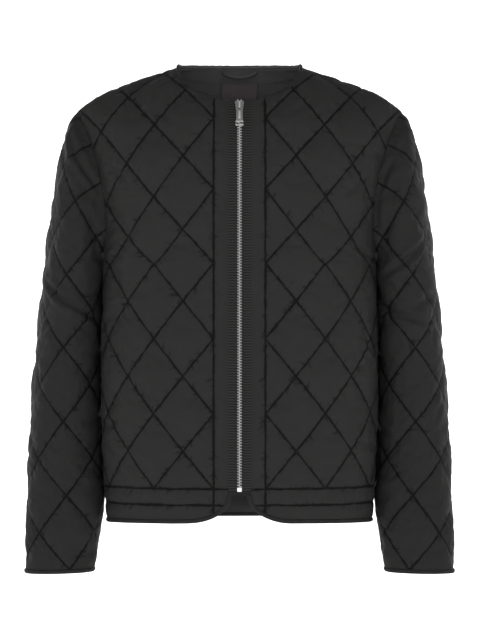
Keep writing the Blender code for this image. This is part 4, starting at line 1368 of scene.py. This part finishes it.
def arch(t):
    return np.sqrt(np.maximum(0, np.cos(pi / 2 * t)))


def sagging_top(t):
    return LOOP_BELOW_EDGE + LOOP_SAG * arch(t)


def arched_stand(t):
    return LOOP_ENDS_STAND + LOOP_STAND * arch(t)


def make_back_neck():
    half = (NECK_COLUMNS - 0.15) * COLUMN_STEPS
    shape = half, 81, 14, steady(FACING_BELOW_EDGE), rippled_height, steady(FACING_STAND), FACING_WALL
    facing = neck_piece("facing_back_neck", "back_neck_facing", facing_cloth_painted_light, *shape)
    half = LABEL_HALF_WIDTH / NECK_POINT_X / (pi / 2) * NECK_COLUMNS * COLUMN_STEPS
    shape = half, 33, 21, steady(LABEL_BELOW_EDGE), steady(LABEL_HEIGHT), curled_stand, LABEL_WALL
    label = neck_piece("label_blank", "neck_label", label_cloth, *shape)
    shape = LOOP_COLUMNS, LOOP_ROWS, sagging_top, steady(LOOP_HEIGHT), arched_stand, LOOP_WALL
    loop = neck_piece("loop_hanger", "hanger_loop", facing_cloth_painted_light, COLUMN_STEPS, *shape)
    # Painted shadow: the loop's lowest row of faces takes the dark binding cloth, standing in for the shadow
    # line the loop casts below itself.
    loop.data.materials.append(binding_and_painted_shadow_cloth)
    painted_shadow_row = np.arange(len(loop.data.polygons)) % (LOOP_ROWS - 1) == 0
    painted_shadow_row[2 * (LOOP_ROWS - 1) * (LOOP_COLUMNS - 1) :] = False
    set_materials(loop.data, painted_shadow_row)
    bevel = loop.modifiers.new("Edges", "BEVEL")
    bevel.width, bevel.segments, bevel.limit_method = LOOP_BEVEL, 2, "ANGLE"
    apply_modifier(loop, "Edges")


def facing_finish():
    # Painted light: the facing's colour is made much lighter than the shell, standing in for light that
    # doesn't reach inside the back neck. The hanger loop and the neck binding's inner side wear it too.
    finish = Finish("facing", (0.0680, 0.0680, 0.0680), 0.5, specular=0.2)
    x, _, z = finish.place()
    finish.tint(finish.noise(50, 3), 0.8, 1.1)
    finish.bump(finish.weave(x, z, TRIM_WEAVE), 0.00004)
    finish.bump(finish.noise(140, 2), 0.0005)
    return finish.material


def label_finish():
    """A plain satin label with close ribs."""
    finish = Finish("label", (0.0870, 0.0735, 0.0780), 0.55, specular=0.2)
    x, _, z = finish.place()
    finish.tint(finish.noise(300, 2, stretch=(0.3, 1, 3)), 0.75, 1.15)
    finish.bump(finish.weave(x, z, 0.0005), 0.00006)
    return finish.material


# ---------------------------------------------------------------- the zip

TAPE_INNER_X = 0.0036
TAPE_TOP_Z, TAPE_BOTTOM_Z = -0.0545, -0.6030
TEETH_WALL = 0.003
TEETH_TOP_Z, TEETH_BOTTOM_Z = -0.0645, -0.5965
TOOTH_PITCH = 0.0038
TOOTH = (-0.0008, 0.0003, -0.00076), (0.0033, 0.0027, 0.00076)
RIB_PITCH, RIB_TURN, RIB_SLANT = 0.0038, 0.0024, 0.8
TAPE_CLOTH, TAPE_STEP, TAPE_WIDTH = 0.0008, 0.004, 0.0150


def zip_line(top_z, bottom_z, step):
    """Points and outward normals down the middle of the front."""
    z = np.linspace(top_z, bottom_z, 400)
    path = skin(np.zeros_like(z), z, FRONT)
    ahead = np.gradient(path, axis=0)
    normals = unit(np.stack([np.zeros(len(z)), ahead[:, 2], -ahead[:, 1]], -1))
    return spaced(path, normals, step)


def make_tapes():
    """The woven tapes, with the cord along the edge that the teeth grip, tucked under the fronts' folds."""
    path, normals, length = zip_line(TAPE_TOP_Z, TAPE_BOTTOM_Z, TAPE_STEP)
    outer = [(0.0030, -0.0016), (0.0033, -0.0007), (0.0041, -0.0005), (0.0049, -0.0008), (0.0056, -0.0012)]
    outer += [(0.0090, -0.0012), (0.0130, -0.0014), (0.0156, -0.0019), (0.0176, -0.0026)]
    inner = [(x, out - TAPE_CLOTH) for x, out in outer[::-1]]
    inner[-1], inner[-2] = (0.0033, -0.0024), (0.0041, -0.0022)
    for side, turn_out in (("left", 1), ("right", -1)):
        piece = swept(f"tape_{side}", path, normals, turn_out, outer + inner, tape_cloth)
        placed(piece, f"zip_tape_{side}")


def tape_finish():
    """A close herringbone."""
    finish = Finish("tape", (0.0165, 0.0165, 0.0160), 0.7, specular=0.08)
    x, _, z = finish.place()
    slant = finish.math("MULTIPLY_ADD", finish.math("PINGPONG", x, RIB_TURN), RIB_SLANT, z)
    ribs = finish.math("SINE", finish.math("MULTIPLY", slant, 2 * pi / RIB_PITCH))
    height = finish.spread(ribs, -0.6, 0.6)
    finish.tint(height, 0.17, 1.7)
    finish.bump(height, 0.0002)
    return finish.material


def metal(name, colour, roughness):
    finish = Finish(name, colour, roughness, metallic=1.0)
    scratches = finish.noise(900, 3, stretch=(1, 1, 0.2))
    finish.rough(scratches, roughness - 0.06, roughness + 0.1)
    finish.tint(finish.noise(180, 2), 0.86, 1.04)
    return finish.material


def cube(name, low, high, material):
    """A box between two corners, in the zip's own directions: x across, y into the body, z up."""
    bpy.ops.object.select_all(action="DESELECT")
    middle = [(a + b) / 2 for a, b in zip(low, high)]
    bpy.ops.mesh.primitive_cube_add(size=1, location=middle)
    piece = bpy.context.active_object
    piece.name = name
    piece.scale = [b - a for a, b in zip(low, high)]
    bpy.ops.object.transform_apply(location=True, rotation=False, scale=True)
    piece.data.materials.append(material)
    return piece


X, Y, Z = range(3)


def pick_faces(piece, axis, way):
    """Goes into edit mode with just the faces selected that look this way along an axis."""
    only(piece)
    bpy.ops.object.mode_set(mode="EDIT")
    bpy.ops.mesh.select_mode(type="FACE")
    bpy.ops.mesh.select_all(action="DESELECT")
    mesh = bmesh.from_edit_mesh(piece.data)
    for face in mesh.faces:
        face.select_set(face.normal[axis] * way > 0.5)
    bmesh.update_edit_mesh(piece.data)


def done_editing():
    bpy.ops.object.mode_set(mode="OBJECT")


def resize_faces(piece, axis, way, *shares):
    pick_faces(piece, axis, way)
    bpy.ops.transform.resize(value=shares)
    done_editing()


def inset_front(piece, thickness, depth):
    """Raises or sinks a panel inside the face that looks out of the front."""
    pick_faces(piece, Y, -1)
    bpy.ops.mesh.inset(thickness=thickness, depth=depth)
    done_editing()


def rounded(piece, width, segments=3):
    """Bevels every edge, and shades it smooth."""
    bevel = piece.modifiers.new("Bevel", "BEVEL")
    bevel.width, bevel.segments = width, segments
    bevel.limit_method, bevel.angle_limit = "ANGLE", radians(25)
    apply_modifier(piece, "Bevel")
    bpy.ops.object.shade_smooth_by_angle(angle=radians(35))


def united(name, pieces, place):
    """The pieces joined into one object and set at a place on the front."""
    bpy.ops.object.select_all(action="DESELECT")
    for piece in pieces:
        piece.select_set(True)
    bpy.context.view_layer.objects.active = pieces[0]
    if len(pieces) > 1:
        bpy.ops.object.join()
    whole = bpy.context.active_object
    whole.name = name
    whole.data.transform(place)
    whole.data.update()
    return whole


def front_frame(z):
    """A place on the zip: x goes across, z up along the front, and y into the body."""
    low, high = skin(0, z - 0.005, FRONT), skin(0, z + 0.005, FRONT)
    up = Vector(high - low).normalized()
    across = Vector((1, 0, 0))
    into = up.cross(across)
    turned = Matrix((across, into, up)).transposed().to_4x4()
    return Matrix.Translation(Vector(skin(0, z, FRONT))) @ turned


def tooth():
    """One tooth of the left row: a bar with a rounded head past the middle, and a raised back."""
    piece = cube("tooth", *TOOTH, zip_metal)
    pick_faces(piece, X, 1)
    bpy.ops.transform.resize(value=(1, 0.8, 0.58))
    bpy.ops.transform.translate(value=(0, 0.00035, 0))
    done_editing()
    resize_faces(piece, X, -1, 1, 0.7, 0.7)
    inset_front(piece, 0.00028, 0.0003)
    rounded(piece, 0.00014, 1)
    return piece


def make_teeth():
    model = tooth()
    mesh = model.data
    shape = coordinates(mesh)
    corners = [tuple(face.vertices) for face in mesh.polygons]
    path, normals, _ = zip_line(TEETH_TOP_Z - 0.001, TEETH_BOTTOM_Z + 0.001, TOOTH_PITCH / 2)
    up = -unit(np.gradient(path, axis=0))
    for side, turn_out, first in (("left", 1, 0), ("right", -1, 1)):
        at, facing, ahead = path[first::2], normals[first::2], up[first::2]
        points = (
            at[:, None]
            + np.array((turn_out, 0, 0)) * shape[None, :, :1]
            - facing[:, None] * shape[None, :, 1:2]
            + ahead[:, None] * shape[None, :, 2:]
        )
        faces = []
        for i in range(len(at)):
            for corner in corners:
                face = tuple(i * len(shape) + k for k in corner)
                faces.append(face if turn_out > 0 else face[::-1])
        piece = add_mesh(f"teeth_{side}", points.reshape(-1, 3), faces, [zip_metal])
        piece.data.set_sharp_from_angle(angle=radians(35))
        placed(piece, f"zip_teeth_{side}")
    bpy.data.objects.remove(model)


SLIDER_Z, SLIDER_LENGTH, SLIDER_TOP_WIDTH, SLIDER_BOTTOM_WIDTH = -0.0655, 0.0135, 0.0125, 0.0095
SLIDER_CLEARANCE, PLATE = 0.0005, 0.0015
WEDGE_WIDTH, WEDGE_BOTTOM, WEDGE_TOP = 0.0024, 0.0020, 0.00625
BRIDGE_WIDTH, BRIDGE_LENGTH, BRIDGE_TOP, BRIDGE_BAR, BRIDGE_POST = 0.0024, 0.0102, 0.0060, 0.0012, 0.0011
STOP_INNER_X, STOP_OUTER_X, STOP_HEIGHT = 0.0014, 0.0034, 0.003
ZIP_BOX_BOTTOM_Z, ZIP_BOX_STAND = -0.6025, 0.0006
METAL_BEVEL, BRIDGE_BEVEL, STOP_BEVEL = 0.0004, 0.00035, 0.0005
OVERLAP, CLEAR = 0.0004, 0.0003


def plate(name, y_low, y_high):
    """One of the slider's plates: wide shoulders over a narrower foot, with a shallow pressed panel."""
    half, top = SLIDER_TOP_WIDTH / 2, SLIDER_LENGTH / 2
    piece = cube(name, (-half, y_low, -top), (half, y_high, top), metal_painted_dark_reflection)
    resize_faces(piece, Z, -1, SLIDER_BOTTOM_WIDTH / SLIDER_TOP_WIDTH, 1, 1)
    pick_faces(piece, Z, 1)
    bpy.ops.mesh.extrude_region_move(TRANSFORM_OT_translate={"value": (0, 0, 0)})
    bpy.ops.transform.resize(value=(0.86, 1, 1))
    done_editing()
    inset_front(piece, 0.0011, -0.00022)
    rounded(piece, METAL_BEVEL)
    return piece


def make_slider():
    front, back = -SLIDER_CLEARANCE, TEETH_WALL + SLIDER_CLEARANCE
    arm, leg = BRIDGE_WIDTH / 2, BRIDGE_LENGTH / 2
    under = -BRIDGE_TOP + BRIDGE_BAR
    pieces = [plate("front_plate", front - PLATE, front), plate("back_plate", back, back + PLATE)]
    wedge = (-WEDGE_WIDTH / 2, front - 0.0005, WEDGE_BOTTOM), (WEDGE_WIDTH / 2, back + 0.0005, WEDGE_TOP)
    pieces.append(cube("wedge", *wedge, metal_painted_dark_reflection))
    pieces.append(cube("bridge", (-arm, -BRIDGE_TOP, -leg), (arm, under, leg), zip_metal))
    for low, high in ((-leg, -leg + BRIDGE_POST), (leg - BRIDGE_POST, leg)):
        post = (-arm, under - OVERLAP, low), (arm, front - PLATE / 2, high)
        pieces.append(cube("post", *post, metal_painted_dark_reflection))
    for piece in pieces[2:]:
        rounded(piece, BRIDGE_BEVEL)
    whole = united("slider", pieces, front_frame(SLIDER_Z))
    placed(whole, "zip_slider")


PULL_WIDTH, PULL_LENGTH, PULL_WALL, PULL_CLEARANCE, PULL_BAR = 0.0090, 0.0320, 0.0018, 0.0004, 0.0014
PULL_EYE_WIDTH, PULL_EYE_SIDE, PULL_EYE_HEIGHT = 0.0048, 0.0016, 0.0064
PULL_RIB_WIDTH, PULL_RIB_STAND = 0.0028, 0.0006
PULL_FOOT_WIDTH, PULL_FOOT_HEIGHT, PULL_FOOT_RIM = 0.0108, 0.0072, 0.0016


def make_pull():
    """The tab: an eye round the bridge, a plate with a raised rib, and a slotted foot."""
    arm, wall, bar = PULL_WIDTH / 2, PULL_WALL / 2, PULL_BAR / 2
    eye, rib, foot = PULL_EYE_WIDTH / 2, PULL_RIB_WIDTH / 2, PULL_FOOT_WIDTH / 2
    eye_out = eye + PULL_EYE_SIDE
    foot_top = -PULL_LENGTH + PULL_FOOT_HEIGHT
    slot_top, slot_foot = foot_top - PULL_FOOT_RIM, -PULL_LENGTH + PULL_FOOT_RIM
    ear_foot, side_foot, side_top = -PULL_EYE_HEIGHT - OVERLAP, slot_foot - OVERLAP, slot_top + OVERLAP
    pieces = [
        cube("plate", (-arm, -wall, foot_top - OVERLAP), (arm, wall, -PULL_EYE_HEIGHT), metal_painted_dark_reflection),
        cube("hinge", (-eye_out, -bar, -bar), (eye_out, bar, bar), metal_painted_dark_reflection),
    ]
    for low, high in ((-eye_out, -eye), (eye, eye_out)):
        pieces.append(cube("ear", (low, -bar, ear_foot), (high, bar, bar), metal_painted_dark_reflection))
    pieces.append(cube("foot", (-foot, -wall, slot_top), (foot, wall, foot_top), zip_metal))
    for low, high in ((-foot, -foot + PULL_FOOT_RIM), (foot - PULL_FOOT_RIM, foot)):
        pieces.append(cube("side", (low, -wall, side_foot), (high, wall, side_top), metal_painted_dark_reflection))
    pieces.append(cube("bar", (-foot, -wall, -PULL_LENGTH), (foot, wall, slot_foot), zip_metal))
    pick_faces(pieces[0], Y, -1)
    bpy.ops.mesh.inset(thickness=arm - rib, depth=0)
    bpy.ops.mesh.extrude_region_move(TRANSFORM_OT_translate={"value": (0, -PULL_RIB_STAND, 0)})
    # The rib keeps the bright metal, a painted highlight against the darker plate.
    pieces[0].data.materials.append(zip_metal)
    pieces[0].active_material_index = 1
    bpy.ops.object.material_slot_assign()
    done_editing()
    for piece in pieces:
        rounded(piece, METAL_BEVEL)
    hinge_y = -SLIDER_CLEARANCE - PLATE - PULL_CLEARANCE - PULL_WALL / 2
    whole = united("pull_tab", pieces, front_frame(SLIDER_Z) @ Matrix.Translation((0, hinge_y, 0)))
    placed(whole, "zip_pull", "pull")


def make_zip_ends():
    low_z = SLIDER_LENGTH / 2 + CLEAR
    for side, turn_out in (("left", 1), ("right", -1)):
        low_x, high_x = sorted((turn_out * STOP_INNER_X, turn_out * STOP_OUTER_X))
        stop = cube("stop", (low_x, 0.0, low_z), (high_x, TEETH_WALL, low_z + STOP_HEIGHT), zip_metal)
        rounded(stop, STOP_BEVEL)
        placed(united(f"stop_{side}", [stop], front_frame(SLIDER_Z)), f"zip_stop_{side}")
    height, half = TEETH_BOTTOM_Z - ZIP_BOX_BOTTOM_Z, TAPE_INNER_X - CLEAR
    low, high = (-half, -ZIP_BOX_STAND, -height), (half, TEETH_WALL + ZIP_BOX_STAND, -CLEAR)
    box = cube("box", low, high, zip_metal)
    resize_faces(box, Z, -1, 0.9, 1, 1)
    inset_front(box, 0.0009, -0.0003)
    rounded(box, METAL_BEVEL)
    placed(united("box_zip", [box], front_frame(TEETH_BOTTOM_Z)), "zip_box")


binding_and_painted_shadow_cloth, facing_cloth_painted_light = binding_finish(), facing_finish()
label_cloth, tape_cloth = label_finish(), tape_finish()
zip_metal = metal("zip_metal", (0.70, 0.70, 0.68), 0.30)
# Painted reflection: a darker copy of the zip metal on the slider's plates and the pull's plate, hinge and
# sides, so the bright bridge, rib and foot read as highlights among dark reflections.
metal_painted_dark_reflection = metal("metal_painted_dark_reflection", (0.30, 0.30, 0.292), 0.30)
make_bindings()
make_back_neck()
make_tapes()
make_teeth()
make_slider()
make_pull()
make_zip_ends()

# ---------------------------------------------------------------- the floor, the light and the camera

FLOOR_Z, WALL_TOP_Z, WALL_RADIUS, COVE, WALL_STEPS = -1.95, 2.3, 7.5, 0.8, 72
PAPER_GLOW, ROOM_LIGHT = 0.7, 0.45
LIGHT_SIZE = 2.2
CAMERA_DISTANCE, PIXEL, PICTURE_HEIGHT = 4.0, 0.00143, 640
MIDDLE_Z = -0.364


def make_studio():
    """A pale round floor that curves up into a low wall."""
    turns = np.radians(range(0, 91, 10))
    profile = [(WALL_RADIUS - COVE + COVE * sin(a), FLOOR_Z + COVE * (1 - cos(a))) for a in turns]
    profile = [(1.0, FLOOR_Z), (3.5, FLOOR_Z)] + profile + [(WALL_RADIUS, WALL_TOP_Z)]
    around = np.linspace(0, 2 * pi, WALL_STEPS, endpoint=False)
    points = [(r * cos(a), r * sin(a), z) for a in around for r, z in profile]
    count = len(profile)
    faces = []
    for i in range(WALL_STEPS):
        here, after = i * count, (i + 1) % WALL_STEPS * count
        faces += [(here + k, here + k + 1, after + k + 1, after + k) for k in range(count - 1)]
    faces.append(tuple(range(0, WALL_STEPS * count, count)))
    paper = bpy.data.materials.new("pale_paper")
    paper.use_nodes = True
    shader = paper.node_tree.nodes["Principled BSDF"]
    shader.inputs["Base Color"].default_value = (0.85, 0.85, 0.85, 1)
    shader.inputs["Roughness"].default_value = 0.9
    shader.inputs["Specular IOR Level"].default_value = 0.1
    shader.inputs["Emission Color"].default_value = (1, 1, 1, 1)
    shader.inputs["Emission Strength"].default_value = PAPER_GLOW
    add_mesh("studio_floor", points, faces, [paper])


def area_light(name, place, power):
    """A square light that shines at the jacket's middle."""
    data = bpy.data.lights.new(name, "AREA")
    data.energy, data.size = power, LIGHT_SIZE
    light = bpy.data.objects.new(name, data)
    light.location = place
    light.rotation_euler = (Vector((0, 0, -0.36)) - Vector(place)).to_track_quat("-Z", "Y").to_euler()
    bpy.context.scene.collection.objects.link(light)


def light_and_frame():
    area_light("front_left", (-2.3, -3.7, 0.90), 30)
    area_light("front_right", (2.3, -3.7, 0.60), 28)
    world = bpy.data.worlds.new("soft_room")
    world.use_nodes = True
    background = world.node_tree.nodes["Background"]
    background.inputs["Color"].default_value = (1, 1, 1, 1)
    background.inputs["Strength"].default_value = ROOM_LIGHT
    scene = bpy.context.scene
    scene.world = world
    scene.view_settings.view_transform = "Standard"
    scene.view_settings.look = "None"
    data = bpy.data.cameras.new("camera")
    data.lens = data.sensor_width * CAMERA_DISTANCE / (PICTURE_HEIGHT * PIXEL)
    camera = bpy.data.objects.new("camera", data)
    camera.location = (PIXEL / 2, -CAMERA_DISTANCE, MIDDLE_Z)
    camera.rotation_euler = (pi / 2, 0, 0)
    scene.collection.objects.link(camera)
    scene.camera = camera


make_studio()
light_and_frame()
